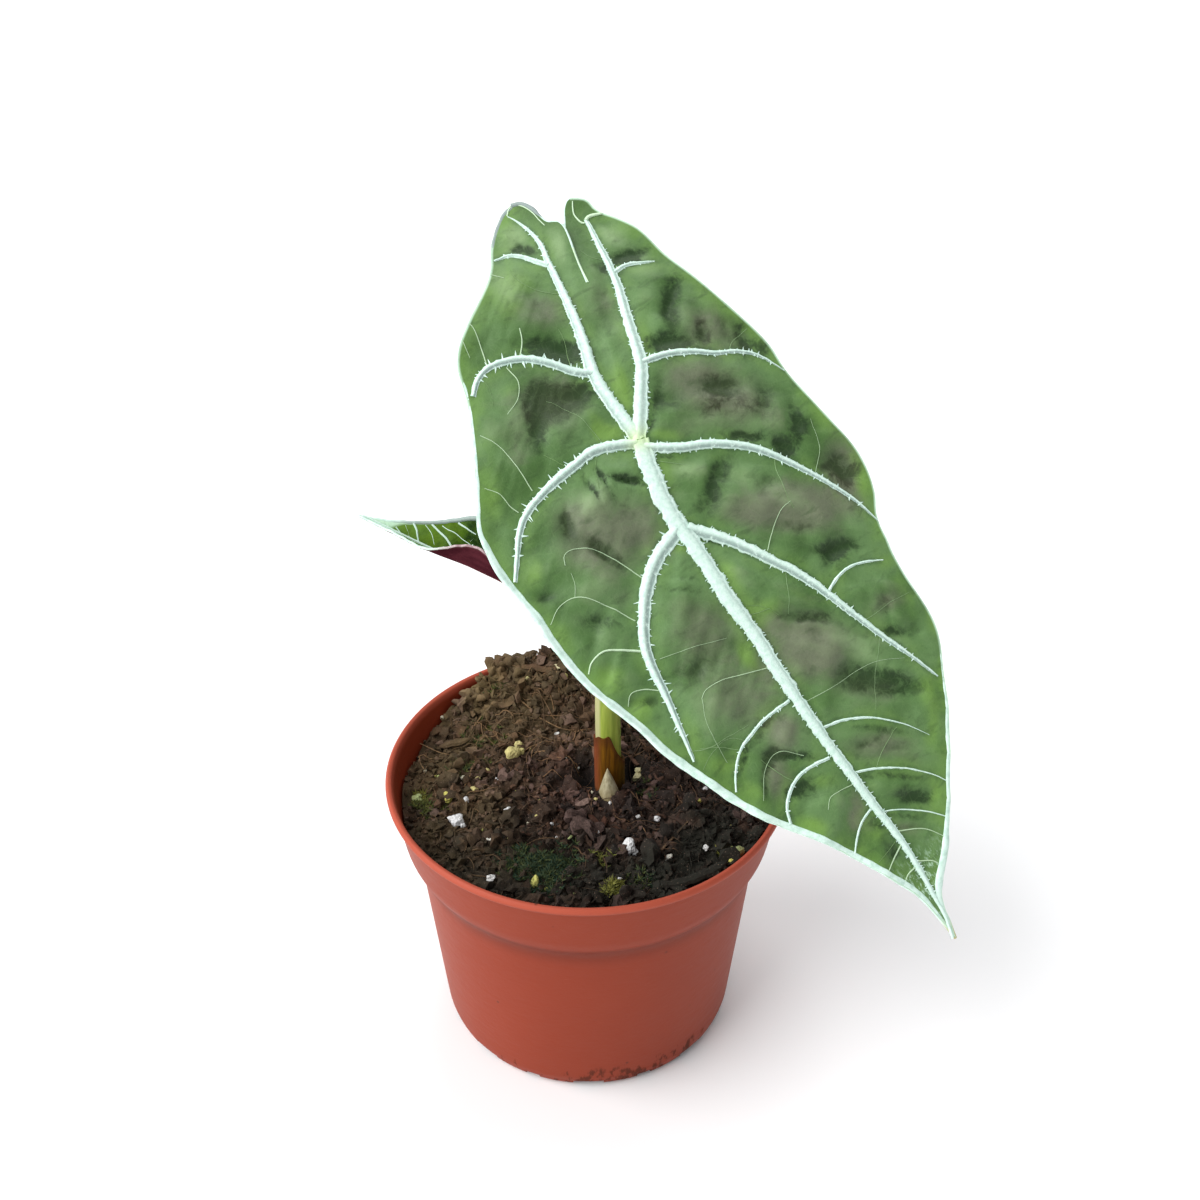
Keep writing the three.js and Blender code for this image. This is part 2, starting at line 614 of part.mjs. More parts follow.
// A rib's section: a low ridge with upright flanks through the blade, and a deeper keel below.
function ribLift(level, over, under) {
  if (Math.abs(level) > 0.9) {
    return level > 0 ? over : -under;
  }
  return level > 0.1 ? over - RIB_CROWN : Math.min(level, 0) * 2 * FLANK_DEPTH;
}

function bladeHalves() {
  const ahead = LEAF_CELLS_ALONG - LEAF_BRIDGE_CELLS - LEAF_SLIT_CELLS;
  const bridge = flatCurve(LOBE_BRIDGE, LEAF_BRIDGE_CELLS).slice(1);
  const middle = [...bridge, ...flatCurve(MIDRIB, ahead).slice(1)];
  const half = (slitLine, margin, side) => {
    const inner = [...flatCurve(slitLine, LEAF_SLIT_CELLS), ...middle];
    const outer = flatCurve(margin, LEAF_CELLS_ALONG);
    const height = (x, y, drop) => [x, y, leafHeight(x, y, side) - drop];
    return { inner, outer, slitRows: LEAF_SLIT_CELLS, cells: LEAF_CELLS_ACROSS, height, side };
  };
  return [half(LEFT_SLIT, LEFT_MARGIN, -1), half(RIGHT_SLIT, RIGHT_MARGIN, 1)];
}

// The blade with its ribs and the hub under it where the stalk ends.
function largeLeaf() {
  const blade = toSolid(plate(bladeHalves(), BLADE));
  const surface = (x, y, centre) => [x, y, bladeForm(centre.x, centre.y) - BLADE / 2];
  const ribs = VEINS.map(({ path, root, end }) => {
    const steps = Math.max(3, Math.round(pathLength(path) / RIB_STEP));
    return rib(path, { root, end, steps, surface, over: RIB_RISE, under: RIB_KEEL });
  });
  const hub = toSolid(lathe([[0, -HUB_DROP], [2.3, -HUB_DROP], [3.1, -1.1], [0, 1.6]], 11));
  return toGeometry(largestPiece(joinAll(blade, [...ribs, hub])));
}

function pathLength(path) {
  return path.slice(1).reduce((sum, [x, y], i) => sum + Math.hypot(x - path[i][0], y - path[i][1]), 0);
}

// Small leaf: a spot given by its distance along the midrib and out from it.
function smallFold(x, side) {
  const fromTip = SMALL_LENGTH - x;
  const near = THREE.MathUtils.lerp(SMALL_NEAR_TIP_FOLD, SMALL_NEAR_FOLD, smoothStep(12, 26, fromTip));
  return THREE.MathUtils.degToRad(side > 0 ? near : SMALL_FAR_FOLD);
}

function smallSpot(x, out, side, drop) {
  const fold = smallFold(x, side);
  const along = THREE.MathUtils.clamp(x / SMALL_LENGTH, 0, 1);
  const sag = -SMALL_SAG * Math.sin(Math.PI * along ** 1.2);
  const wave = Math.sin((2 * x * Math.PI) / SMALL_CURL_PERIOD);
  const curl = SMALL_CURL * out * wave * (out / SMALL_HALF_WIDTH);
  const clear = THREE.MathUtils.clamp(out / KEEL_HALF_WIDTH, 0, 1);
  const outward = drop * clear * Math.sin(fold);
  const sink = drop * THREE.MathUtils.lerp(KEEL_DEPTH, Math.cos(fold), clear);
  return [x, side * (out * Math.cos(fold) + outward), sag + out * Math.sin(fold) + curl - sink];
}

function smallWidth(x) {
  const after = SMALL_WIDTHS.findIndex(([at]) => at >= x);
  const [x1, w1] = SMALL_WIDTHS[Math.max(after, 1)];
  const [x0, w0] = SMALL_WIDTHS[Math.max(after, 1) - 1];
  return w0 + ((w1 - w0) * (x - x0)) / (x1 - x0);
}

function smallHalf(side) {
  const inner = [];
  const outer = [];
  for (let i = 0; i <= SMALL_CELLS_ALONG; i += 1) {
    const x = THREE.MathUtils.lerp(-SMALL_LOBE, SMALL_LENGTH, i / SMALL_CELLS_ALONG);
    const parting = SMALL_SLIT * smoothStep(SMALL_BRIDGE, SMALL_LOBE, -x);
    inner.push(new THREE.Vector3(x, parting, 0));
    outer.push(new THREE.Vector3(x, Math.max(parting, smallWidth(x)), 0));
  }
  const slitShare = (SMALL_LOBE - SMALL_BRIDGE) / (SMALL_LOBE + SMALL_LENGTH);
  const slitRows = Math.ceil(slitShare * SMALL_CELLS_ALONG);
  const height = (x, out, drop) => smallSpot(x, out, side, drop);
  return { inner, outer, slitRows, cells: SMALL_CELLS_ACROSS, height, side };
}

function smallLeaf() {
  const blade = toSolid(plate([smallHalf(-1), smallHalf(1)], SMALL_BLADE));
  const ribs = [smallRib([[-4, 0], [20, 0], [44, 0]], 1.7, 0.7, 0)];
  for (const side of [-1, 1]) {
    const stagger = side * SMALL_RIB_STAGGER;
    for (const root of SMALL_RIB_ROOTS) {
      const start = root + stagger;
      const reach = smallWidth(start + 5) - 0.9;
      ribs.push(smallRib([[start, 0], [start + 2, reach * 0.5], [start + 6, reach]], 1.0, 0.6, side));
    }
    ribs.push(smallRib([[stagger - 0.3, 0.2], [-6, 3], [-11, 4.6]], 1.1, 0.6, side));
  }
  const hub = toSolid(lathe([[0, -SMALL_HUB_DROP], [1.5, -SMALL_HUB_DROP], [2.2, -0.7], [0, 1.3]], 9));
  return toGeometry(largestPiece(joinAll(blade, [...ribs, hub])));
}

function smallRib(path, root, end, side) {
  const turn = side < 0 ? -1 : 1;
  const surface = (x, out, centre) => {
    const [, across, lift] = smallSpot(centre.x, centre.y, turn, SMALL_BLADE / 2);
    return [x, across + turn * (out - centre.y) * Math.cos(smallFold(centre.x, turn)), lift];
  };
  const steps = Math.max(2, Math.round(pathLength(path) / RIB_STEP));
  return rib(path, { root, end, steps, surface, over: SMALL_RIB_RISE, under: RIB_KEEL, turn });
}

// Assembly
function makeMesh(name, geometry) {
  const [colour, roughness] = COLOURS[name];
  const material = new THREE.MeshStandardMaterial({ color: colour, roughness, metalness: 0 });
  const mesh = new THREE.Mesh(geometry, material);
  mesh.name = name;
  return mesh;
}

function placeBlade(mesh, at, { along, across, normal }) {
  mesh.position.copy(at);
  mesh.quaternion.setFromRotationMatrix(new THREE.Matrix4().makeBasis(along, across, normal));
  return mesh;
}

function barMesh(name, points, radiusAt, sides, steps) {
  return makeMesh(name, toGeometry(toSolid(bentBar(points, radiusAt, sides, steps))));
}

const plant = new THREE.Group();
plant.add(makeMesh('corm', toGeometry(cormBody(0))));
plant.add(barMesh('large_stem', stemPath(), stemRadius, 10, 18));
plant.add(barMesh('small_stem', smallStemPath(), smallStemRadius, 8, 14));
plant.add(makeMesh('sheath', sheath()));
plant.add(barMesh('new_shoot', SHOOT_POINTS, newShootRadius, 8, 6));
plant.add(placeBlade(makeMesh('large_leaf', largeLeaf()), LEAF_AT, leafAxes()));
plant.add(placeBlade(makeMesh('small_leaf', smallLeaf()), SMALL_AT, smallAxes()));

const potted = new THREE.Group();
potted.add(makeMesh('pot', pot()));
potted.add(makeMesh('soil', soil()));
potted.add(plant);

export default potted;
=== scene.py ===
import math
import random

import bmesh
import bpy
from mathutils import Matrix, Vector, noise
from mathutils.kdtree import KDTree


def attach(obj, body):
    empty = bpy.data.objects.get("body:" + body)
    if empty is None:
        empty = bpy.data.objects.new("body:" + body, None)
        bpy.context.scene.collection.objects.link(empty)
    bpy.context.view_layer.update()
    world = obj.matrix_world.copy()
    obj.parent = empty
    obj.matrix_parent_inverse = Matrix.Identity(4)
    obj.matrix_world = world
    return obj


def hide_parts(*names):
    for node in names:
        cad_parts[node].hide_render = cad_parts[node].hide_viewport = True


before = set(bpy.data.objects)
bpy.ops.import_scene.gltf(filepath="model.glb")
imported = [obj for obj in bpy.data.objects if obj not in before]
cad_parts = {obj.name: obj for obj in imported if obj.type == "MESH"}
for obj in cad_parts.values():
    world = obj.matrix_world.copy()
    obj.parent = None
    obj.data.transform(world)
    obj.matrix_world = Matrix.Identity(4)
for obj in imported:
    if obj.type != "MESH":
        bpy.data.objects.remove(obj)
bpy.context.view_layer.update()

# Sizes are written in millimetres and multiplied by MM where a mesh is made.
MM = 0.001
BODY = "root"
# Small shapes are made this many at a time
GROUP = 24

# Camera: place in millimetres, direction of view, lens and the photograph's size in pixels
CAMERA_AT = Vector((0, -260.838, 282.525))
CAMERA_AIM = Vector((0.00890106, 0.82832096, -0.56018315))
CAMERA_LENS = 48
SENSOR = 36
PICTURE_SIZE = 1200
FOCUS = CAMERA_LENS / SENSOR * PICTURE_SIZE
CAMERA_RIGHT = CAMERA_AIM.cross((0, 0, 1)).normalized()
CAMERA_UP = CAMERA_RIGHT.cross(CAMERA_AIM)

# Pot
POT_HEIGHT = 63.5
RIM_RADIUS = 42.5
LIP_BEAD = 1.4
COLLAR_DEPTH = 15.5
COLLAR_FOOT_RADIUS = 39.2
WALL_TOP_RADIUS = 36.6
WALL_FOOT_RADIUS = 32.4
WALL = 1.1
FOOT_RADIUS = 30.6
FOOT_WIDTH = 2.0
FLOOR_LIFT = 1.8
FLOOR = 1.2
HUB_DISC_RADIUS = 9.0
SLOT_COUNT = 16
WIDE_SLOT = 6.6
NARROW_SLOT = 3.4
SLOT_HEIGHT = 1.9
SLOT_INNER_RADIUS = 25.5
SLOT_OUTER_RADIUS = FOOT_RADIUS - FOOT_WIDTH - 0.4
POT_STEPS = 176
CORNER = 0.7

# Soil
GAP = 0.3
SOIL_LEVEL = 57.0
MOUND = (-3, 33, 11.5, 30, 9.5)
CROWN_MOUND = (4, 2, 2.0, 13, 11)
CLOD_RELIEF = 0.9
SOIL_EDGE = RIM_RADIUS - LIP_BEAD - WALL - GAP
SOIL_RINGS = 64
SOIL_STEPS = 200
CROWN = Vector((5.0, 0.3, 0))
SHOOT_HEAP = (4.5, -6.6, 2.6, 6.5, 4.2)

# Stems
CORM_TOP = 49.5
STEM_POINTS = [
    (5, 0, CORM_TOP + GAP), (4.7, 0, 64), (4.4, 0.2, 81), (4.9, 3.0, 99), (6.4, 7.4, 117), (7.6, 9.4, 127),
]
STEM_RADII = (2.55, 2.65, 1.75)
STEM_LAST_RUN = 5.5
SMALL_STEM_POINTS = [(4.6, 5.9, CORM_TOP + GAP), (4.7, 6.1, 62), (4.8, 6.6, 75), (0.2, 12, 83)]
SMALL_STEM_RADII = (1.6, 1.05)
SMALL_STEM_LAST_RUN = 3.2
SHOOT_POINTS = [(4.7, -6.0, CORM_TOP + GAP), (4.7, -5.3, 58), (4.3, -4.1, 66.6)]
SHOOT_RADIUS = 3.6
SHOOT_TIP_RADIUS = 0.25
SHEATH_INNER = STEM_RADII[1] + 0.12
SHEATH_WALL = 0.4
SHEATH_TOP = 71.4
SHEATH_FRONT_RISE = 2.3
SHEATH_RIGHT_FALL = 6.0
SHEATH_OPENING = 0.9
SHEATH_LEAN = 0.0138

# Large leaf. In its plane, x runs from the stalk to the tip and y to the leaf's right side.
LEAF_AT = Vector((9.8, 2.0, 140.7))
LEAF_FACING = math.radians(14.0)
LEAF_PITCH = math.radians(45.0)
LEAF_SWING = math.radians(24.5)
LEAF_LENGTH = 110.5
LOBE_LENGTH = 50
TIP_DROOP = 12
LOBE_DROOP = 7
HALF_WIDTH = 35
HALF_RISE = 4
HALF_DROOP = 6.5
QUILT_RISE = 1.3
QUILT_REACH = 5.5
TIP_FADE = 22
LOBE_LIFT = 0.9
LOBE_LIFT_AT = 44
SLIT_Y = 12
SLIT_REACH = 5
HUB_DROP = 2.8
BLADE = 0.6
ROWS = 224
SLIT_ROWS = 35
BRIDGE_ROWS = 35
HALF_COLUMNS = 58
MIDRIB = [(0, 0), (12.6, -2.7), (27.5, -2.9), (46.4, -2.7), (64.3, -0.9), (80.8, 0.2), (98.9, 1.1), (110.5, -0.1)]
APEX = (-30.8, 10.1)
BRIDGE = [APEX, (-21.7, 8), (-11, 4.5), (0, 0)]
# The outline in the photograph's pixels. Both margins end at the tip, and both slit edges at the apex.
LEFT_SLIT_SEEN = [
    (511, 206.5), (520, 205.6), (531, 210.5), (539, 217.6), (547, 223.5), (553, 223.8), (558, 224.5), (563, 229.5),
    (567, 237), (572.4, 250.3), (577, 261.5), (582.2, 272.6),
]
RIGHT_SLIT_SEEN = [
    (570.6, 198.5), (567.3, 201.5), (565.3, 207), (565.2, 214.5), (565.4, 224), (566.4, 233), (569, 243),
    (573, 253), (578, 265),
]
LEFT_MARGIN_SEEN = [
    (511, 206.5), (503, 213.5), (497.5, 225), (492.5, 241.5), (491, 254), (491.4, 264), (488, 281), (479, 302),
    (468.6, 322.6), (458.5, 350), (457.8, 369.2), (466.6, 398.1), (472, 440), (474.7, 475.2), (476.2, 510),
    (478, 533.6), (485.4, 551.4), (494.3, 569.3), (503.2, 581.8), (521, 605), (535.4, 622.9), (546, 640.7),
    (559.5, 658.6), (574.6, 676.4), (592.5, 694.3), (617, 714), (640, 732.2), (661.7, 752.8), (692, 774.5),
    (726.8, 798.4), (761.5, 819), (778.8, 825.5), (817.9, 840.7), (856.9, 859.1), (889.5, 878.6), (919.8, 897),
    (939.3, 917.7),
]
RIGHT_MARGIN_SEEN = [
    (570.6, 198.5), (576, 198.4), (584, 199.2), (589.4, 202), (593.8, 207), (601.9, 212.4), (616, 218.4),
    (638.7, 230.5), (668, 256), (721.3, 301.5), (769, 344), (784.5, 366.5), (812.6, 402.6), (857.2, 453.5),
    (874.2, 491), (878.4, 517.5), (904.2, 574.4), (934.4, 626), (944.3, 671), (949, 727), (950.3, 760),
    (950.5, 813.5), (949, 835), (946.8, 857), (943.6, 878.5), (942.8, 894), (945.6, 907), (951.4, 922),
]
# Each main vein: its side, its width at the root and at the end, and its path in the photograph's pixels.
VEINS_SEEN = [
    (-1, 3.85, 0.6, [(639.7, 440), (652, 472.7), (664, 500.2), (678.5, 524), (693, 543), (711.8, 570.8),
        (726, 594.4), (743.7, 618), (760.5, 641.6), (776.5, 667), (793, 691.5), (809, 715.5), (826, 739.5),
        (842, 761), (858.6, 783.1), (876.5, 807.6), (894.3, 830), (910, 852.3), (923.4, 874.6),
        (934.5, 894.7), (945.7, 914.8), (954, 938)]),
    (-1, 2.9, 0.35, [(639, 440), (622.5, 417.6), (605.3, 393.5), (593.2, 372.8), (584.6, 345.3), (574.3, 317.7),
        (560.5, 286.7), (548.5, 262.6), (539.9, 243.7), (527.8, 229.9), (514, 219.8), (507.4, 216.4)]),
    (1, 2.9, 0.9, [(640, 440), (641.4, 400.4), (641.4, 362.5), (634.6, 338.4), (626, 310.9), (619.1, 286.7),
        (610.5, 266.1), (598.4, 242), (590.5, 226), (586, 218)]),
    (-1, 2.3, 0.8, [(637, 443.5), (612.2, 445.8), (591.5, 452), (574.3, 465.8), (553.6, 483), (535, 502.5),
        (524.2, 518.9), (519.5, 535.4), (517.8, 554.3), (515.5, 582)]),
    (1, 2.1, 0.5, [(642, 447), (681, 446.9), (708.6, 443.4), (739.6, 444.5), (763.7, 450.3), (787.8, 460.6),
        (811.9, 472.7), (836, 486.5), (856.6, 500.2), (878.5, 520)]),
    (-1, 1.9, 1.1, [(592.5, 373), (574.3, 371.1), (550.2, 362.5), (526.1, 358.4), (505.4, 360.8), (488.2, 367.7),
        (477.9, 379.7), (473.5, 396)]),
    (1, 1.5, 0.4, [(642.5, 361.5), (663.8, 353.9), (691.4, 350.5), (715.5, 352.2), (739.6, 350.5),
        (756.8, 353.9), (770.6, 360.8), (785, 370)]),
    (-1, 1.2, 0.6, [(547.5, 264.5), (535, 260.5), (522.6, 256.4), (508.9, 255.1), (494.5, 260.5)]),
    (1, 1.1, 0.5, [(612.5, 273.5), (626, 264.4), (639.7, 262), (655, 260.7)]),
    (-1, 3.0, 0.6, [(678, 529), (669.3, 541.3), (659.9, 554.3), (654, 566.1), (649.3, 580.2), (645.7, 599.1),
        (644.6, 618), (644.6, 636.9), (647.6, 653.4), (655.2, 672.3), (664.6, 691.1), (672.9, 710),
        (680, 726.5), (688.2, 745.4), (694.8, 761.5)]),
    (1, 2.4, 0.5, [(688, 528), (707.1, 533), (733, 541.3), (754.3, 550.7), (773.2, 560.2), (794.4, 570.8),
        (813.3, 582.6), (829.8, 594.6), (846.3, 607.5), (869.8, 625.4), (887.6, 638.6), (905.5, 650.8),
        (923.4, 664), (938.5, 676)]),
    (1, 0.7, 0.4, [(829, 592), (835.7, 580.2), (843.9, 570.8), (853.4, 564.9), (868, 561), (884, 559.5)]),
    (-1, 0.72, 0.5, [(790, 700), (776, 710.5), (762.6, 721.7), (751.4, 735.1), (742.5, 747.4), (738, 760.8),
        (736.3, 776.4), (737, 792)]),
    (1, 0.62, 0.2, [(824, 727.5), (840.8, 720.6), (856.4, 717.9), (872, 717.2), (889.9, 720.1), (905.5, 723.9),
        (916.7, 728.4), (930, 734.5)]),
    (-1, 0.74, 0.64, [(830, 757.5), (816.2, 764.1), (802.8, 773), (793.9, 784.2), (789.4, 796.5), (787.8, 808.8),
        (791.5, 824)]),
    (1, 0.5, 0.3, [(856, 772), (874.3, 768.6), (889.9, 767.5), (905.5, 767.9), (921.2, 770.8), (936.8, 775.3),
        (947.5, 780.5)]),
    (-1, 0.5, 0.5, [(871.5, 809), (863.1, 821), (858.6, 834.4), (856.4, 847.8), (856, 856)]),
    (1, 0.4, 0.34, [(883, 811.5), (898.8, 809.4), (914.5, 809.9), (930.1, 811.7), (946, 816)]),
]
# Thin veins: width, and the path in the leaf's plane.
THIN_VEINS = [
    (0.24, [(22.1, -14.5), (16.4, -16.9), (12.9, -19.0), (10.7, -22.6), (10.9, -24.4), (12.5, -25.3)]),
    (0.24, [(27.8, -20.0), (22.5, -23.2), (18.3, -27.1), (18.1, -30.2), (19.9, -33.3)]),
    (0.14, [(18.3, -27.1), (16.1, -25.7), (14.2, -25.2)]),
    (0.50, [(33.0, -22.1), (31.0, -24.9), (29.2, -28.1), (29.7, -31.0), (31.1, -32.6)]),
    (0.26, [(40.6, -23.4), (38.9, -25.7), (38.3, -28.1), (39.9, -29.7)]),
    (0.24, [(-2.3, -22.3), (-7.0, -22.4), (-12.2, -22.9), (-16, -24.6)]),
    (0.22, [(-0.4, -26.6), (-2.3, -27.3), (-4.9, -27.7), (-7.4, -29.4)]),
    (0.24, [(-24.6, -12.7), (-20.8, -12.8), (-18.0, -15.0), (-16.7, -18.1)]),
    (0.36, [(-24.6, -9.8), (-27.2, -7.4), (-29.7, -6.3)]),
    (0.20, [(30.6, 8.7), (28.0, 11.7), (25.6, 15.3), (25.3, 17.7)]),
    (0.22, [(48.6, -3.4), (46.9, -8.7), (45.5, -13.0), (45.4, -16.5), (46.2, -17.9)]),
    (0.12, [(46.2, -17.9), (49.9, -19.5), (53.7, -20.0), (58.5, -20.1)]),
    (0.28, [(-26.9, -15.5), (-31.6, -14.0), (-34.6, -13.5), (-35.4, -13.6)]),
    (0.22, [(-42.2, -3.9), (-40.2, -2.3)]),
    (0.18, [(-33.4, -16.6), (-29.8, -17.3)]),
    (0.16, [(65.5, -7.1), (62.3, -10.7), (62.8, -13.7), (64.6, -16.0), (67.9, -18.4)]),
    (0.26, [(87.4, 1.0), (89.9, 5.4), (93.6, 8.1)]),
    (0.20, [(75.4, -1.0), (74.6, -5.4), (74.6, -7.5), (76.2, -9.0)]),
    (0.34, [(89.7, 0.2), (91.1, -2.8), (92.4, -5.6)]),
    (0.36, [(94.8, 0.6), (95.1, -2.0), (96.1, -3.6)]),
    (0.30, [(94.2, 1.2), (95.8, 3.6), (97.6, 4.6)]),
    (0.12, [(36.0, -20.2), (38.0, -12.7), (39.0, -9.8), (39.7, -7.4)]),
    (0.12, [(57.6, -1.4), (58.2, 4.1), (58.4, 7.5), (58.4, 10.6), (59.0, 14.6), (61.6, 20.2)]),
    (0.12, [(23.3, 26.0), (19.8, 29.6), (14.2, 31.4)]),
]
# Thin veins at the lobes: width, and the path in pixels
LOBE_VEINS_SEEN = [
    (0.42, [(585, 222), (582, 221.5), (578.6, 218.6), (574.2, 213.2), (573, 208), (572.6, 204.5), (572.4, 201.5)]),
    (0.95, [(586, 219.5), (588, 216.6), (592, 214.8), (596.5, 214.1), (601.9, 213.4)]),
    (0.45, [(559, 225.5), (564.6, 231.5), (568, 239.6), (571, 247.7), (574.2, 255.5), (578, 264), (583, 273.5), (588, 283)]),
    (0.36, [(507.2, 216), (508.6, 210), (512.4, 206.8), (517, 206.4), (524, 209), (532, 214.6), (538, 221.2), (544, 227)]),
]
PATCH_SPREAD = 1.2
# Soft patches on the leaf in the photograph's pixels: middle, half width, half height, turn in degrees and strength.
# Dark patches, where the blade is also pressed in: partly the leaf's dark mottling and partly painted shade in these
# hollows.
HOLLOWS = [
    (608, 557, 20, 6, 30, 0.8), (601, 622, 22, 8, 4, 0.8), (544, 597, 12, 5, 0, 0.7), (683, 577, 24, 3, 4, 0.5),
    (680, 590, 22, 3, 4, 0.5), (834, 553, 9, 12, 30, 1.0), (846, 545, 12, 5, -10, 0.7), (808, 616, 30, 5, -2, 0.8),
    (820, 622, 22, 3, 4, 0.4), (857, 680, 22, 10, 12, 0.9), (888, 676, 28, 8, 10, 0.8), (897, 690, 22, 7, 0, 0.7),
    (697, 668, 26, 12, -12, 0.6), (652, 702, 15, 7, 0, 0.6), (792, 756, 20, 5, 4, 1.2), (771, 764, 5, 14, 20, 1.0),
    (764, 786, 4, 14, 6, 0.6), (806, 792, 13, 8, -20, 0.7), (799, 786, 5, 14, 40, 0.7), (914, 796, 18, 7, 5, 1.2),
    (869, 743, 14, 4, -16, 0.7), (896, 748, 10, 3, 0, 0.5), (904, 816, 20, 3, 3, 0.6), (905, 826, 18, 3, 3, 0.5),
    (894, 852, 8, 9, 0, 0.8), (878, 822, 8, 6, 0, 0.6), (894, 776, 34, 4, 2, 0.7), (880, 729, 32, 4, 4, 0.6),
    (893, 631, 20, 4, -4, 0.8), (765, 727, 5, 18, 38, 0.8), (744, 758, 4, 20, 10, 0.7), (634, 254, 17, 6, -12, 1.0),
    (556, 350, 24, 10, 6, 1.0), (520, 249, 10, 4, 0, 0.7), (671, 344, 17, 7, 0, 0.9), (540, 404, 9, 24, 8, 0.9),
    (576, 394, 15, 10, -20, 1.0), (560, 412, 10, 14, 0, 0.6), (722, 386, 12, 9, 0, 0.7), (740, 404, 20, 12, 20, 0.5),
    (657, 392, 5, 14, 0, 0.7), (671, 300, 8, 18, 4, 0.7), (702, 338, 4, 14, -16, 0.7), (744, 344, 4, 14, -20, 0.6),
    (784, 447, 6, 7, 0, 1.1), (795, 424, 6, 20, -6, 0.6), (626, 480, 17, 5, 8, 0.6), (537, 446, 10, 10, 0, 0.5),
    (716, 474, 7, 22, 28, 0.6), (768, 484, 9, 12, 20, 0.6), (743, 434, 22, 4, 0, 0.6), (604, 330, 14, 16, 0, 0.3),
    (842, 468, 9, 18, -24, 0.6), (858, 470, 5, 14, -24, 0.5), (724, 330, 5, 18, -24, 0.5), (688, 376, 22, 8, 0, 0.3),
    (571, 528, 5, 16, -20, 0.4), (590, 486, 2.6, 18, -30, 0.8), (606, 482, 2.2, 16, -26, 0.8), (700, 640, 18, 12, 0, 0.3),
    (557, 353, 26, 8, 6, 1.2), (562, 397, 26, 12, 0, 0.8), (542, 421, 10, 16, 0, 0.9), (528, 408, 8, 14, 0, 0.4),
    (670, 402, 16, 9, 0, 0.6), (719, 386, 14, 8, 0, 0.7), (711, 408, 13, 9, 0, 0.7), (764, 400, 9, 14, 0, 0.7),
    (753, 437, 16, 5, 0, 0.8), (799, 427, 10, 12, 0, 0.8), (786, 447, 7, 5, 0, 1.0), (673, 298, 8, 20, 4, 0.8),
    (668, 341, 20, 9, 0, 1.0), (705, 333, 5, 16, -16, 0.8), (743, 333, 6, 18, -16, 0.6), (762, 346, 10, 9, 0, 0.7),
    (716, 483, 8, 22, 24, 0.6), (842, 475, 8, 14, -20, 0.8), (828, 467, 10, 8, 0, 0.5), (566, 526, 6, 14, 0, 0.7),
    (611, 501, 24, 5, 30, 0.4), (708, 507, 12, 14, 0, 0.4), (796, 526, 22, 6, 0, 0.5), (834, 547, 20, 8, 0, 0.7),
    (625, 478, 15, 3, 10, 1.0), (651, 424, 2.6, 12, 0, 0.9), (668, 457.5, 10, 1.6, -4, 1.0), (714, 541.5, 12, 2, 10, 1.1),
    (526, 250, 12, 4, 8, 0.8), (604, 268, 6, 5, 0, 0.8), (629, 259, 13, 4.5, -14, 1.3), (600, 545, 16, 6, 34, 0.6),
    (722, 612, 14, 4, -6, 0.2), (886, 606, 5, 16, -20, 0.6), (869, 600, 4, 12, -24, 0.4), (866, 756, 20, 3, 0, 0.3),
]
# Grey patches: partly the leaf's own grey mottling and partly painted sheen, light reflected off the glossy blade, laid
# into its colour.
GREY_SHEENS = [
    (632, 528, 34, 28, 0, 1.0), (575, 522, 24, 24, 0, 0.8), (703, 632, 30, 34, 0, 0.8), (740, 700, 38, 28, 0, 0.8),
    (806, 632, 46, 22, 10, 0.8), (816, 514, 38, 18, -10, 0.8), (750, 514, 26, 12, 0, 0.6), (812, 660, 36, 20, 0, 0.8),
    (785, 732, 16, 14, 0, 1.1), (777, 778, 12, 20, 0, 1.0), (881, 746, 38, 14, 0, 0.8), (858, 812, 10, 18, 0, 1.1),
    (906, 828, 18, 8, 0, 0.7), (543, 311, 30, 17, 0, 0.8), (556, 402, 30, 26, 0, 0.9), (688, 376, 28, 18, 0, 0.7),
    (728, 400, 40, 24, 10, 1.0), (708, 328, 34, 18, 20, 0.8), (843, 466, 14, 26, -20, 1.1), (784, 498, 52, 20, -6, 0.8),
    (604, 300, 16, 34, -16, 0.5), (590, 560, 28, 18, 0, 0.6), (620, 600, 22, 14, 0, 0.4), (870, 690, 30, 12, 0, 0.6),
    (890, 600, 18, 12, -20, 0.7), (515, 440, 16, 30, 0, 0.5), (680, 430, 24, 10, 0, 0.4),
]
# Pale patches: painted sheen, where the glossy blade reflects the light.
PALE_SHEENS = [
    (512, 238, 13, 14, 0, 1.0), (505, 288, 16, 20, 0, 0.7), (558, 246, 8, 18, -16, 0.8), (612, 234, 14, 10, 20, 0.8),
    (640, 262, 16, 12, 30, 0.7), (586, 505, 9, 14, 10, 0.7), (606, 452, 12, 8, 0, 0.5), (686, 470, 16, 10, 10, 0.7),
    (740, 476, 18, 10, 12, 0.6), (790, 500, 22, 10, 20, 0.6), (650, 560, 8, 14, 0, 0.4), (730, 630, 14, 8, 20, 0.5),
    (850, 640, 26, 10, 20, 0.6), (870, 660, 24, 8, 20, 0.5), (700, 300, 22, 10, 30, 0.4), (760, 380, 14, 8, 30, 0.4),
    (690, 420, 18, 7, -6, 0.4), (620, 330, 8, 20, -10, 0.5), (604, 640, 10, 18, 0, 0.4), (770, 560, 18, 8, 24, 0.4),
    (893, 640, 18, 8, 10, 0.5), (874, 786, 12, 6, 0, 0.4), (700, 700, 16, 10, 0, 0.3), (574, 620, 12, 10, 0, 0.4),
]
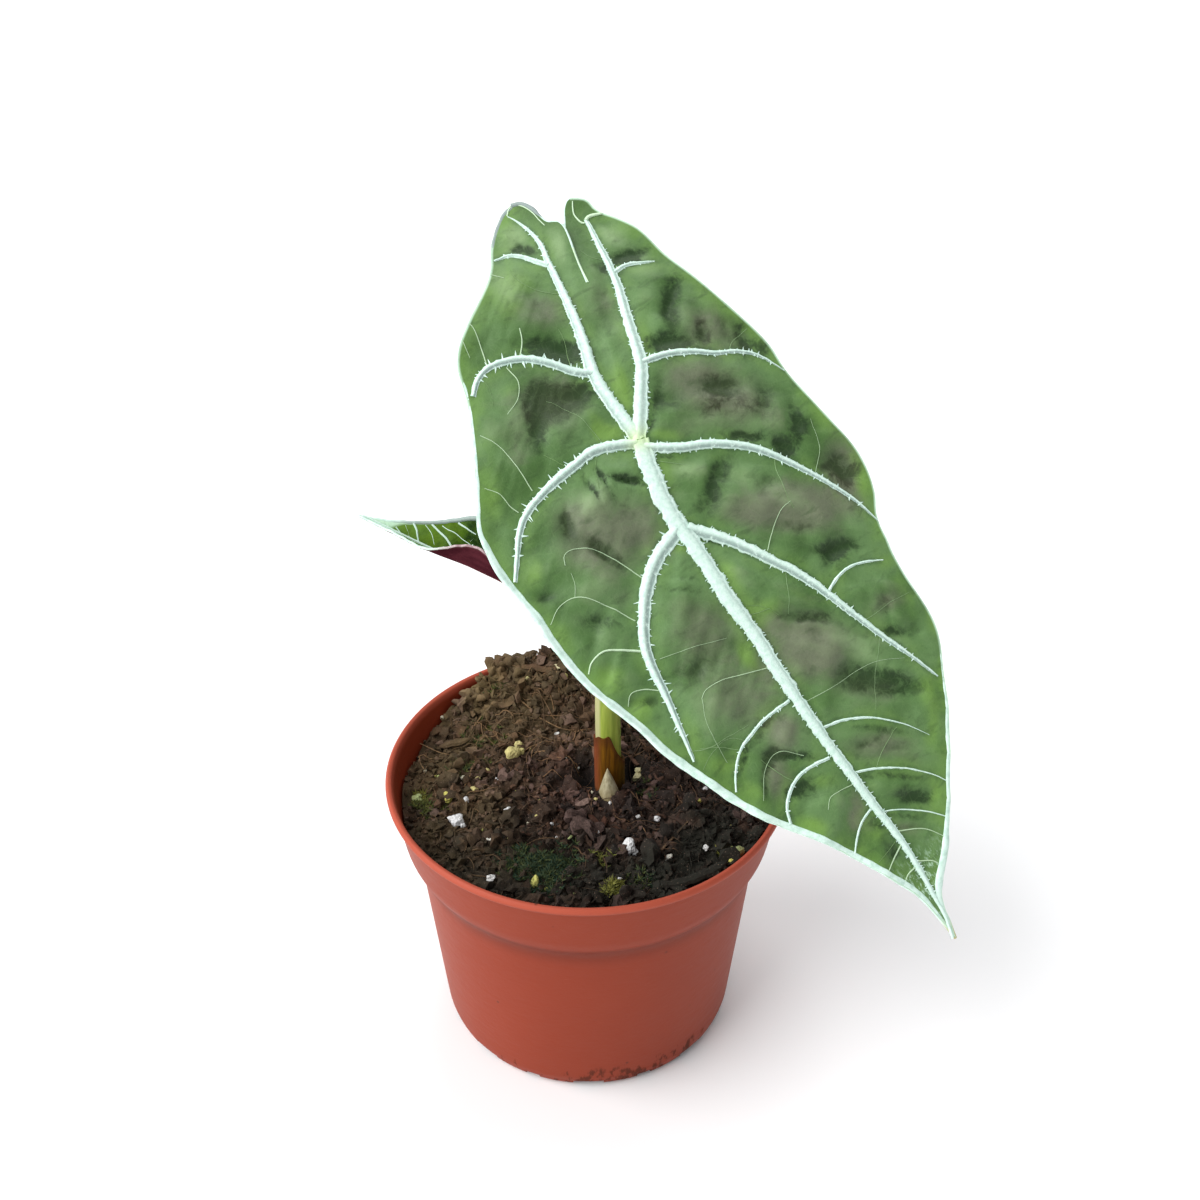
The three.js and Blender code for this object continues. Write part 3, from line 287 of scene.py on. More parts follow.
LIMES = [
    (514, 284, 22, 14, 0, 0.8), (506, 312, 14, 14, 0, 0.6), (622, 390, 9, 24, -10, 1.2), (609, 432, 12, 8, 0, 1.3),
    (664, 434, 14, 6, 0, 0.9), (664, 470, 14, 12, 0, 0.9), (646, 340, 8, 18, 0, 0.8), (700, 284, 20, 8, 30, 0.6),
    (829, 418, 12, 22, -24, 0.8), (864, 482, 8, 18, -20, 0.9), (490, 502, 12, 24, 0, 0.8), (532, 572, 9, 16, 0, 0.9),
    (608, 682, 15, 14, 0, 1.2), (643, 708, 12, 12, 0, 1.2), (686, 547, 14, 6, 0, 1.0), (728, 574, 9, 16, -30, 1.0),
    (750, 614, 10, 22, -30, 0.8), (747, 655, 9, 16, -30, 1.1), (690, 737, 10, 20, -10, 0.7), (560, 640, 12, 16, 0, 0.8),
    (769, 607, 12, 10, 0, 0.7), (722, 765, 15, 9, 20, 0.9), (751, 790, 12, 9, 20, 0.8), (814, 826, 16, 8, 20, 1.1),
    (933, 726, 8, 24, 0, 0.9), (926, 686, 9, 16, 0, 0.8), (876, 833, 9, 12, 0, 0.7), (936, 796, 7, 18, 0, 0.9),
    (823, 780, 16, 8, 0, 0.8), (932, 620, 6, 14, -10, 0.9), (596, 420, 6, 18, -28, 0.7), (800, 596, 24, 6, 28, 0.4),
    (890, 560, 12, 8, 0, 0.6), (640, 300, 10, 20, 0, 0.3), (550, 250, 8, 14, 0, 0.4), (510, 390, 12, 10, 0, 0.5),
]

# Small leaf, folded along its midrib like a trough
SMALL_AT = Vector((-6.5, 18, 92))
SMALL_HEADING = math.radians(163.8)
SMALL_CLIMB = math.radians(20.4)
SMALL_LENGTH = 45.8
SMALL_LOBE = 15
SMALL_BRIDGE = 6
SMALL_SLIT = 1.6
SMALL_HUB_DROP = 2.1
SMALL_SAG = 0.2
SMALL_LIFT = 0.9
SMALL_FOLDS = (55, 38, 50)
SMALL_CURL = 0.1
SMALL_HALF_WIDTH = 13
KEEL_HALF_WIDTH = 1.2
SMALL_BLADE = 0.55
SMALL_WIDTHS = [
    (-15, 0), (-13.5, 4.2), (-9, 8.6), (-2, 11.8), (5, 13.2), (12, 13.2), (18, 12.2),
    (24, 10.2), (29, 7.8), (35, 4.6), (40, 2), (45.8, 0),
]
# Veins that show on its far half: width at both ends and path in pixels
SMALL_VEINS_SEEN = [
    (0.9, 0.55, [(414, 523.6), (416.5, 530), (418, 536), (419, 543)]), (0.34, 0.24, [(425, 524.5), (431, 533), (434.5, 545)]),
    (0.75, 0.85, [(432, 524.6), (441, 533), (447, 539.5), (450.5, 545), (453, 549)]),
    (0.4, 0.3, [(442, 526), (449, 530), (457, 534.5), (464, 540), (472, 546.5)]),
    (0.8, 0.4, [(459, 523), (467, 528), (476, 534)]), (0.5, 0.3, [(396, 527), (399, 530.5), (402, 534.5)]),
    (0.22, 0.16, [(405, 525), (408, 531), (409, 537)]), (0.2, 0.14, [(470, 541), (474, 538), (480, 535)]),
]
SMALL_ROWS = 110
SMALL_COLUMNS = 26

def tint(red, green, blue, gain=1.0):
    """A screen colour of 0 to 255 as the linear colour that a shader takes."""
    parts = [value / 255 for value in (red, green, blue)]
    linear = [p / 12.92 if p <= 0.04045 else ((p + 0.055) / 1.055) ** 2.4 for p in parts]
    return tuple(gain * p for p in linear) + (1.0,)


class Value:
    """A number, colour or vector in a material. Arithmetic on it adds Math nodes."""

    def __init__(self, paint, socket):
        self.paint = paint
        self.socket = socket

    def math(self, operation, first, second):
        return self.paint.node("ShaderNodeMath", {"operation": operation}, {0: first, 1: second})

    def __add__(self, other):
        return self.math("ADD", self, other)

    def __radd__(self, other):
        return self.math("ADD", other, self)

    def __sub__(self, other):
        return self.math("SUBTRACT", self, other)

    def __rsub__(self, other):
        return self.math("SUBTRACT", other, self)

    def __mul__(self, other):
        return self.math("MULTIPLY", self, other)

    def __rmul__(self, other):
        return self.math("MULTIPLY", other, self)

    def __truediv__(self, other):
        return self.math("DIVIDE", self, other)


class Paint:
    """One material, made from nodes."""

    def __init__(self, name):
        self.material = bpy.data.materials.new(name)
        self.material.use_nodes = True
        self.tree = self.material.node_tree
        self.tree.nodes.clear()

    def node(self, kind, settings=None, inputs=None, output=0):
        """A node with its settings made first, then the values or links of its sockets."""
        made = self.tree.nodes.new(kind)
        for name, setting in (settings or {}).items():
            setattr(made, name, setting)
        for key, value in (inputs or {}).items():
            self.feed(made, key, value)
        outputs = {socket.identifier: socket for socket in made.outputs}
        return Value(self, made.outputs[output] if isinstance(output, int) else outputs[output])

    def feed(self, made, key, value):
        sockets = {socket.identifier: socket for socket in made.inputs}
        socket = made.inputs[key] if isinstance(key, int) else sockets[key]
        if isinstance(value, Value):
            self.tree.links.new(value.socket, socket)
        else:
            socket.default_value = value

    def place(self):
        return self.node("ShaderNodeTexCoord", output="Object")

    def layer(self, name):
        """A number kept on the mesh."""
        return self.node("ShaderNodeAttribute", {"attribute_name": name}, output="Fac")

    def layer_vector(self, name):
        return self.node("ShaderNodeAttribute", {"attribute_name": name}, output="Vector")

    def stretched(self, where, scale):
        return self.node("ShaderNodeVectorMath", {"operation": "MULTIPLY"}, {0: where, 1: scale})

    def cloud(self, where, scale, detail=3.0, roughness=0.55, distortion=0.0):
        values = {"Vector": where, "Scale": scale, "Detail": detail, "Roughness": roughness}
        values["Distortion"] = distortion
        return self.node("ShaderNodeTexNoise", {}, values)

    def cells(self, where, scale, feature="F1", randomness=1.0):
        values = {"Vector": where, "Scale": scale, "Randomness": randomness}
        return self.node("ShaderNodeTexVoronoi", {"feature": feature}, values)

    def ease(self, value, low, high):
        """0 below low, 1 above high, and smooth between."""
        values = {"Value": value, "From Min": low, "From Max": high}
        return self.node("ShaderNodeMapRange", {"interpolation_type": "SMOOTHSTEP"}, values)

    def mix(self, amount, first, second):
        values = {"Factor_Float": amount, "A_Color": first, "B_Color": second}
        return self.node("ShaderNodeMix", {"data_type": "RGBA"}, values, "Result_Color")

    def bump(self, height, distance, strength=1.0):
        return self.node("ShaderNodeBump", {}, {"Height": height, "Distance": distance, "Strength": strength})

    def finish(self, colour, roughness, normal=None, **constants):
        shader = self.tree.nodes.new("ShaderNodeBsdfPrincipled")
        self.feed(shader, "Base Color", colour)
        self.feed(shader, "Roughness", roughness)
        if normal is not None:
            self.feed(shader, "Normal", normal)
        for name, value in constants.items():
            self.feed(shader, name.replace("_", " "), value)
        out = self.tree.nodes.new("ShaderNodeOutputMaterial")
        self.tree.links.new(shader.outputs["BSDF"], out.inputs["Surface"])
        return self.material


def smooth_step(low, high, value):
    t = min(max((value - low) / (high - low), 0), 1)
    return t * t * (3 - 2 * t)


def blend(first, second, share):
    return first + (second - first) * share


def smooth_line(points, count):
    """count + 1 spots spread evenly along a smooth curve through the points."""
    spots = [Vector((*point, 0)) if len(point) == 2 else Vector(point) for point in points]
    spots = [spots[0] * 2 - spots[1], *spots, spots[-1] * 2 - spots[-2]]
    fine = [spots[1]]
    for a, b, c, d in zip(spots, spots[1:], spots[2:], spots[3:]):
        before, here, after = [math.sqrt((q - p).length) for p, q in ((a, b), (b, c), (c, d))]
        leave = ((b - a) / before - (c - a) / (before + here) + (c - b) / here) * here
        arrive = ((c - b) / here - (d - b) / (here + after) + (d - c) / after) * here
        for step in range(1, 25):
            t = step / 24
            bend = b * 2 - c * 2 + leave + arrive
            sweep = (c - b) * 3 - leave * 2 - arrive
            fine.append(b + leave * t + sweep * t * t + bend * t ** 3)
    reach = [0.0]
    for first, second in zip(fine, fine[1:]):
        reach.append(reach[-1] + (second - first).length)
    line = []
    at = 0
    for step in range(count + 1):
        wanted = reach[-1] * step / count
        while at < len(reach) - 2 and reach[at + 1] < wanted:
            at += 1
        share = (wanted - reach[at]) / max(reach[at + 1] - reach[at], 1e-9)
        line.append(fine[at].lerp(fine[at + 1], min(max(share, 0), 1)))
    return line


def line_length(points):
    return sum((Vector(b) - Vector(a)).length for a, b in zip(points, points[1:]))


def heading_at(line, index):
    return (line[min(index + 1, len(line) - 1)] - line[max(index - 1, 0)]).normalized()


def sight(across, down):
    """The direction from the camera through a pixel of the photograph."""
    middle = PICTURE_SIZE / 2
    return (CAMERA_AIM * FOCUS + CAMERA_RIGHT * (across - middle) - CAMERA_UP * (down - middle)).normalized()


def seen_at(spot):
    """The pixel at which a place in millimetres shows."""
    way = spot - CAMERA_AT
    scale = FOCUS / way.dot(CAMERA_AIM)
    return PICTURE_SIZE / 2 + way.dot(CAMERA_RIGHT) * scale, PICTURE_SIZE / 2 - way.dot(CAMERA_UP) * scale


def add_grid(mesh, columns, rows):
    """A grid of cells in the mesh, with each vertex's shares across and along it."""
    made = bmesh.ops.create_grid(mesh, x_segments=columns, y_segments=rows, size=0.5)
    return [(vertex, vertex.co.x + 0.5, vertex.co.y + 0.5) for vertex in made["verts"]]


def merge(mesh, distance=2e-6):
    bmesh.ops.remove_doubles(mesh, verts=mesh.verts, dist=distance)
    loose = [vertex for vertex in mesh.verts if not vertex.link_faces]
    bmesh.ops.delete(mesh, geom=loose, context="VERTS")


def thicken(mesh, move):
    """Turns an open sheet into a closed shell whose back is moved by move(vertex)."""
    under = mesh.verts.layers.float["under"]
    made = bmesh.ops.extrude_face_region(mesh, geom=mesh.faces[:], use_keep_orig=True)
    for vertex in made["geom"]:
        if isinstance(vertex, bmesh.types.BMVert):
            vertex.co += move(vertex)
            vertex[under] = 1.0


def make_piece(mesh, name, material, stands_for=(), sharp=35):
    """A finished object from a mesh in metres: faces out, smooth but for its sharp edges."""
    bmesh.ops.recalc_face_normals(mesh, faces=mesh.faces[:])
    limit = math.radians(sharp)
    for face in mesh.faces:
        face.smooth = True
    for edge in mesh.edges:
        edge.smooth = len(edge.link_faces) != 2 or edge.calc_face_angle(0) < limit
    data = bpy.data.meshes.new(name)
    mesh.to_mesh(data)
    mesh.free()
    data.materials.append(material)
    made = bpy.data.objects.new(name, data)
    bpy.context.scene.collection.objects.link(made)
    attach(made, BODY)
    if stands_for:
        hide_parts(*stands_for)
    return made


def new_mesh(*layers):
    """An empty mesh that keeps these numbers, and the vector "flat", on its vertices."""
    mesh = bmesh.new()
    for layer in layers:
        if layer == "flat":
            mesh.verts.layers.float_vector.new(layer)
        else:
            mesh.verts.layers.float.new(layer)
    return mesh


def add_in_groups(mesh, layers, items, add):
    """Calls add(part, *item) for each item, a group of them in each part of the mesh.

    A tool works through the whole mesh it is given, so small parts are much faster.
    """
    for start in range(0, len(items), GROUP):
        part = new_mesh(*layers)
        for item in items[start:start + GROUP]:
            add(part, *item)
        data = bpy.data.meshes.new("part")
        part.to_mesh(data)
        part.free()
        mesh.from_mesh(data)
        bpy.data.meshes.remove(data)


def add_tube(mesh, line, radius_at, sides, layers=None, flat=1.0, face=(0, 0, 1)):
    """A bar along a line in millimetres, closed at both ends, flattened towards its face if flat is below 1."""
    steps = len(line) - 1
    ahead = heading_at(line, 0)
    side = ahead.orthogonal().normalized() if flat == 1 else ahead.cross(face).normalized()
    frames = []
    for index in range(steps + 1):
        ahead = heading_at(line, index)
        side = (side - ahead * side.dot(ahead)).normalized()
        frames.append((side.copy(), ahead.cross(side)))
    vertices = []
    for vertex, around, along in add_grid(mesh, sides, steps + 2):
        row = round(along * (steps + 2)) - 1
        index = min(max(row, 0), steps)
        radius = radius_at(index / steps) if row == index else 0.0
        turn = 2 * math.pi * around
        across, up = frames[index]
        vertex.co = (line[index] + (across * math.cos(turn) + up * math.sin(turn) * flat) * radius) * MM
        vertices.append(vertex)
        for layer, value_at in (layers or {}).items():
            out = across * math.cos(turn) + up * math.sin(turn)
            vertex[mesh.verts.layers.float[layer]] = value_at(index / steps, out)
    bmesh.ops.remove_doubles(mesh, verts=vertices, dist=1e-7)


def speck(mesh, at, size, detail, rng, rough, tone):
    """One irregular grain."""
    turn = Matrix.Rotation(rng.random() * 6.3, 4, (rng.random() - 0.5, rng.random() - 0.5, rng.random() - 0.4))
    stretch = Matrix.Diagonal((0.75 + 0.6 * rng.random(), 0.75 + 0.5 * rng.random(), 0.7 + 0.5 * rng.random(), 1))
    made = bmesh.ops.create_icosphere(mesh, subdivisions=detail, radius=size * MM)
    shift = Vector((rng.random(), rng.random(), rng.random())) * 50
    for vertex in made["verts"]:
        bulge = 1 + rough * 2 * noise.noise(vertex.co * (1.3 / (size * MM)) + shift)
        vertex.co = Vector(at) * MM + turn @ stretch @ (vertex.co * bulge)
        vertex[mesh.verts.layers.float["tone"]] = tone


# Pot

def soften(profile):
    """The profile with each corner rounded, the most where its sides are long."""
    soft = [Vector((*profile[0], 0))]
    for a, b, c in zip(profile, profile[1:], profile[2:]):
        a, b, c = [Vector((*point, 0)) for point in (a, b, c)]
        before, after = (a - b), (c - b)
        near = min(before.length, after.length)
        reach = CORNER * (3.2 if near > 4 else 1)
        start = b + before.normalized() * min(reach, before.length * 0.45)
        end = b + after.normalized() * min(reach, after.length * 0.45)
        for step in range(7):
            t = step / 6
            soft.append(start * (1 - t) ** 2 + b * 2 * t * (1 - t) + end * t * t)
    soft.append(Vector((*profile[-1], 0)))
    return soft


def inner_wall(clearance):
    collar_foot = POT_HEIGHT - COLLAR_DEPTH
    floor_top = FLOOR_LIFT + FLOOR
    return [
        (HUB_DISC_RADIUS + 0.6 - clearance, floor_top + clearance),
        (WALL_FOOT_RADIUS - WALL - 1.6 - clearance, floor_top + clearance),
        (WALL_FOOT_RADIUS - WALL - clearance, floor_top + 1.8 + clearance),
        (WALL_TOP_RADIUS - WALL - clearance, collar_foot - 1.0),
        (COLLAR_FOOT_RADIUS - WALL - clearance, collar_foot + 0.8),
        (RIM_RADIUS - LIP_BEAD - WALL * 0.4 - clearance, POT_HEIGHT - 1.6),
    ]


def pot_profile():
    collar_foot = POT_HEIGHT - COLLAR_DEPTH
    return [
        (0, 0), (HUB_DISC_RADIUS, 0), (HUB_DISC_RADIUS + 1.2, FLOOR_LIFT), (SLOT_OUTER_RADIUS, FLOOR_LIFT),
        (FOOT_RADIUS - FOOT_WIDTH, 0), (FOOT_RADIUS, 0), (WALL_FOOT_RADIUS - 0.7, 0.8), (WALL_FOOT_RADIUS, 3),
        (WALL_TOP_RADIUS, collar_foot - 2.2), (COLLAR_FOOT_RADIUS, collar_foot + 1.4),
        (RIM_RADIUS - 1.2, POT_HEIGHT - LIP_BEAD - 0.7),
        (RIM_RADIUS - 0.1, POT_HEIGHT - LIP_BEAD), (RIM_RADIUS, POT_HEIGHT - LIP_BEAD / 2),
        (RIM_RADIUS - 0.4, POT_HEIGHT - 0.15), (RIM_RADIUS - LIP_BEAD / 2, POT_HEIGHT),
        (RIM_RADIUS - LIP_BEAD, POT_HEIGHT - 0.2), *reversed(inner_wall(0)), (HUB_DISC_RADIUS - 0.6, FLOOR), (0, FLOOR),
    ]


def spin_profile(mesh, profile, steps):
    spots = [mesh.verts.new((point[0] * MM, 0, point[1] * MM)) for point in profile]
    edges = [mesh.edges.new(pair) for pair in zip(spots, spots[1:])]
    bmesh.ops.spin(
        mesh, geom=spots + edges, cent=(0, 0, 0), axis=(0, 0, 1), angle=2 * math.pi, steps=steps, use_merge=True,
    )
    merge(mesh, 1e-6)


def slot_cutter():
    """The boxes that cut the drainage slots."""
    mesh = bmesh.new()
    for index in range(SLOT_COUNT):
        width = WIDE_SLOT if index % 2 == 0 else NARROW_SLOT
        turn = Matrix.Rotation(-math.pi / 2 + index * 2 * math.pi / SLOT_COUNT, 4, "Z")
        for outer, high in ((RIM_RADIUS, SLOT_HEIGHT), (SLOT_OUTER_RADIUS, 6)):
            size = (outer - SLOT_INNER_RADIUS, width, high + 1)
            middle = ((outer + SLOT_INNER_RADIUS) / 2, 0, (high - 1) / 2)
            shape = Matrix.Diagonal((*[part * MM for part in size], 1))
            bmesh.ops.create_cube(mesh, size=1, matrix=turn @ Matrix.Translation(Vector(middle) * MM) @ shape)
    data = bpy.data.meshes.new("slot_cutter")
    mesh.to_mesh(data)
    mesh.free()
    cutter = bpy.data.objects.new("slot_cutter", data)
    bpy.context.scene.collection.objects.link(cutter)
    return cutter


def cut_slots(mesh):
    """The mesh with the slots cut out of it."""
    data = bpy.data.meshes.new("uncut_pot")
    mesh.to_mesh(data)
    mesh.free()
    uncut = bpy.data.objects.new("uncut_pot", data)
    bpy.context.scene.collection.objects.link(uncut)
    cutter = slot_cutter()
    cut = uncut.modifiers.new("slots", "BOOLEAN")
    cut.operation = "DIFFERENCE"
    cut.solver = "EXACT"
    cut.use_self = True
    cut.object = cutter
    bpy.context.view_layer.update()
    result = bmesh.new()
    result.from_object(uncut, bpy.context.evaluated_depsgraph_get())
    for spent in (uncut, cutter):
        bpy.data.objects.remove(spent)
    return result


def pot_paint():
    paint = Paint("moulded_clay_plastic")
    place = paint.place()
    up = paint.node("ShaderNodeSeparateXYZ", {}, {0: place}, 2)
    broad = paint.cloud(place, 26, 3)
    colour = paint.mix(broad, tint(134, 51, 29), tint(144, 57, 33))
    streaks = paint.cloud(paint.stretched(place, (180, 180, 900)), 1.0, 4, 0.65)
    colour = paint.mix(paint.ease(streaks, 0.64, 0.80) * 0.22, colour, tint(168, 88, 70))
    # Painted highlight: the top of the lip, above 61.6 mm, is painted lighter as if lit from above.
    colour = paint.mix(paint.ease(up, 0.0616, 0.0628) * 0.6, colour, tint(186, 90, 70))
    dust = paint.cloud(place, 420, 4, 0.7)
    colour = paint.mix(paint.ease(dust, 0.62, 0.75) * 0.25, colour, tint(118, 50, 37))
    # Painted shade: a darker band on the wall just under the collar's overhang.
    collar_painted_shade = paint.ease(up, 0.0405, 0.0465) * (1 - paint.ease(up, 0.0468, 0.0492))
    colour = paint.mix(collar_painted_shade * 0.55, colour, tint(92, 32, 18))
    across = paint.node("ShaderNodeSeparateXYZ", {}, {0: place}, 0)
    back = paint.node("ShaderNodeSeparateXYZ", {}, {0: place}, 1)
    low = 1 - paint.ease(up, 0.002, 0.009)
    grime = paint.cloud(paint.stretched(place, (520, 520, 230)), 1.0, 4, 0.65)
    near_side = paint.ease(across, -0.008, -0.002) * (1 - paint.ease(across, 0.022, 0.03)) * paint.ease(0 - back, 0, 0.02)
    soiled = paint.ease(grime + near_side * 0.16 + low * 0.16, 0.75, 0.87) * paint.ease(low, 0.02, 0.5)
    colour = paint.mix(soiled * 0.75, colour, tint(64, 36, 26))
    specks = 1 - paint.ease(paint.cells(place, 150), 0.03, 0.085)
    chance = paint.ease(paint.cloud(place, 60, 2), 0.50, 0.60)
    colour = paint.mix(specks * chance * 0.85, colour, tint(66, 34, 26))
    rough = 0.40 + streaks * 0.16 + soiled * 0.3
    normal = paint.bump(paint.cloud(place, 900, 3) + streaks * 0.6, 0.00012, 0.35)
    return paint.finish(colour, rough, normal, Specular_IOR_Level=0.14)


def make_pot():
    mesh = bmesh.new()
    spin_profile(mesh, soften(pot_profile()), POT_STEPS)
    bmesh.ops.recalc_face_normals(mesh, faces=mesh.faces[:])
    return make_piece(cut_slots(mesh), "nursery_pot", pot_paint(), ["pot"], 28)


# Soil

# Bark pieces that show: pixel, length, width, thickness, turn in degrees, bend, tone and height over the soil
BARK = [
    (584, 805, 3.8, 1.6, 0.8, 4, 0.2, 1.0, 1.2), (694, 880, 16, 2.3, 1.5, 26, 5, 0.0, 0.9),
    (521, 657, 8, 1.8, 1.4, -18, 2, 0.05, 1.2), (455, 745, 7, 2.0, 1.2, 20, 1, 0.1, 0.9),
    (540, 668, 9, 2.0, 1.2, -12, 1, 0.2, 1.0),
]
# Clods that show: pixel, radius and tone
CLODS_SEEN = [
    (577, 820, 1.8, 1.0), (590, 832, 2.0, 0.95), (584, 827, 1.6, 1.1), (547, 812, 1.9, 0.28), (680, 780, 1.9, 0.36),
    (470, 699, 1.8, 1.0), (630, 897, 2.0, 0.1), (650, 860, 2.2, 0.1), (570, 790, 1.8, 0.3), (486, 664, 1.9, 0.75),
    (494, 667, 1.8, 0.8), (504, 664, 1.7, 0.45), (513, 662, 1.8, 0.35), (499, 676, 1.6, 0.6), (520, 672, 1.6, 0.3),
    (462, 705, 1.5, 0.9), (478, 697, 1.5, 0.8), (480, 676, 1.5, 0.7),
]
# Rootlets and twigs that show: radius, tone and path in pixels
STRANDS_SEEN = [
    (0.34, 0.95, [(661, 852), (672, 840), (684, 826), (699, 814)]),
    (0.16, 0.8, [(530, 712), (546, 722), (566, 727), (592, 728)]), (0.12, 0.7, [(546, 688), (556, 694), (565, 707)]),
    (0.14, 0.9, [(640, 825), (644, 832), (648, 838)]), (0.14, 0.7, [(520, 700), (540, 716), (572, 716), (590, 722)]),
    (0.12, 0.8, [(558, 684), (562, 700), (558, 716)]), (0.1, 0.9, [(420, 745), (446, 756), (470, 752)]),
    (0.12, 0.5, [(500, 716), (524, 728), (552, 740), (580, 742)]), (0.1, 0.8, [(636, 795), (641, 812), (638, 830)]),
    (0.2, 0.1, [(447, 862), (453, 842), (462, 832), (474, 836)]), (0.2, 0.2, [(430, 790), (440, 779), (456, 779), (466, 790)]),
    (0.1, 0.85, [(520, 850), (540, 838), (566, 842), (574, 856)]), (0.12, 0.6, [(622, 706), (640, 722), (656, 752)]),
]


def heap_height(heap, x, y):
    middle_x, middle_y, high, wide, deep = heap
    return high * math.exp(-(((x - middle_x) / wide) ** 2) - ((y - middle_y) / deep) ** 2)


def soil_height(x, y):
    clods = math.sin(x * 0.61 + 1.3) * math.cos(y * 0.53 - 0.4) + 0.6 * math.sin(x * 1.27 - y * 0.9)
    heaps = sum(heap_height(heap, x, y) for heap in (MOUND, CROWN_MOUND, SHOOT_HEAP))
    return SOIL_LEVEL + heaps + CLOD_RELIEF * clods * 0.6


def crumbled_height(x, y):
    """The soil's height with its clods and crumbs."""
    coarse = noise.noise(Vector((x / 3.4, y / 3.4, 1.5)))
    middle = abs(noise.noise(Vector((x / 1.7, y / 1.7, 7.5))))
    fine = noise.noise(Vector((x / 0.8, y / 0.8, 3.5)))
    back = 1.1 * smooth_step(22, 36, y)
    return soil_height(x, y) + 1.1 * coarse + 1.3 * middle + 0.35 * fine - 0.3 - pit_depth(x, y) - back


def pit_depth(x, y):
    """The soil falls away around the stalk, most of all on both sides and behind."""
    ring = 1.2 * smooth_step(5.4, 3.4, (Vector((x, y * 0.8, 0)) - CROWN).length) * smooth_step(-4, 0, y)
    left = 5.5 * math.exp(-(((x + 0.3) / 2.2) ** 2) - ((y - 4.5) / 5) ** 2)
    return ring + left + 6.0 * math.exp(-(((x - 10.0) / 2.3) ** 2) - ((y - 7) / 6.5) ** 2)


def soil_paint(name, tones, roughness):
    """Peat and bark: each crumb's tone comes from the mesh, its grain from noise. A tone below zero, in the pits by the
    stalk, is painted near-black as shade.
    """
    paint = Paint(name)
    place = paint.place()
    tone = paint.layer("tone")
    colour = tones[0]
    for index, shade in enumerate(tones[1:]):
        low = index / (len(tones) - 1)
        colour = paint.mix(paint.ease(tone, low, low + 1 / (len(tones) - 1)), colour, shade)
    grain = paint.cloud(place, 1400, 5, 0.7)
    colour = paint.mix(paint.ease(grain, 0.35, 0.7) * 0.6, colour, tones[0])
    across = paint.node("ShaderNodeSeparateXYZ", {}, {0: place}, 0)
    back = paint.node("ShaderNodeSeparateXYZ", {}, {0: place}, 1)
    patch = paint.cloud(place, 90, 3, 0.6)
    # Lighter tan towards the left and the back, darker towards the front and the right.
    dry = paint.ease(0 - across, 0.002, 0.030) * 0.5 + paint.ease(back, 0.004, 0.03) * 0.5
    colour = paint.mix((0.3 + paint.ease(patch, 0.36, 0.62) * 0.5) * dry, colour, tint(122, 104, 68))
    front_right_dark = paint.ease(0 - back, 0.002, 0.024) * 0.75 + paint.ease(across, 0.004, 0.026) * 0.6
    colour = paint.mix((1.15 - paint.ease(patch, 0.36, 0.66) * 0.6) * front_right_dark, colour, tint(26, 25, 15))
    # Painted shade: where the tone drops below zero, in the pits beside the stalk, the soil is painted near-black.
    colour = paint.mix(1 - paint.ease(tone, -1.2, -0.1), colour, tint(9, 7, 5))
    # Painted highlights: pale specks in the colour that stand for glints of light on the crumbs.
    painted_glints = paint.ease(paint.cloud(place, 2600, 2), 0.64, 0.74)
    colour = paint.mix(painted_glints * 0.45, colour, tint(160, 134, 116))
    normal = paint.bump(grain + paint.cloud(place, 3600, 3) * 0.5, 0.0004, 0.8)
    return paint.finish(colour, roughness - grain * 0.2, normal, Specular_IOR_Level=0.35)


def make_soil_bed(material):
    mesh = new_mesh("tone")
    wall = [point for point in inner_wall(GAP)[:5]]
    rings = [
        (SOIL_EDGE * (1 - index / SOIL_RINGS) - (0.4 if index == 0 else 0), SOIL_LEVEL)
        for index in range(SOIL_RINGS)
    ]
    foot = [(0, FLOOR + GAP), (HUB_DISC_RADIUS - 0.6 - GAP, FLOOR + GAP)]
    spin_profile(mesh, [*foot, *wall, *rings, (0, SOIL_LEVEL)], SOIL_STEPS)
    tone = mesh.verts.layers.float["tone"]
    for vertex in mesh.verts:
        x, y, z = vertex.co / MM
        # The tone drops with the pit's depth, so the paint darkens the pits as painted shade.
        vertex[tone] = 0.35 + 0.5 * noise.noise(Vector((x / 5, y / 5, 9))) - 0.3 * pit_depth(x, y)
        if z > SOIL_LEVEL - 0.01:
            vertex.co.z = crumbled_height(x, y) * MM
    return make_piece(mesh, "soil_bed", material, ["soil"], 60)


def free_spot(rng, reach, clear):
    """A random place on the soil, away from the stems."""
    while True:
        x, y = rng.uniform(-reach, reach), rng.uniform(-reach, reach)
        if math.hypot(x, y) < reach and (Vector((x, y, 0)) - CROWN).length > 4.2 + clear:
            if math.hypot(x - 4.6, y - 6) > 2.4 + clear and math.hypot(x - 5.2, y + 6) > 2.4 + clear:
                return x, y


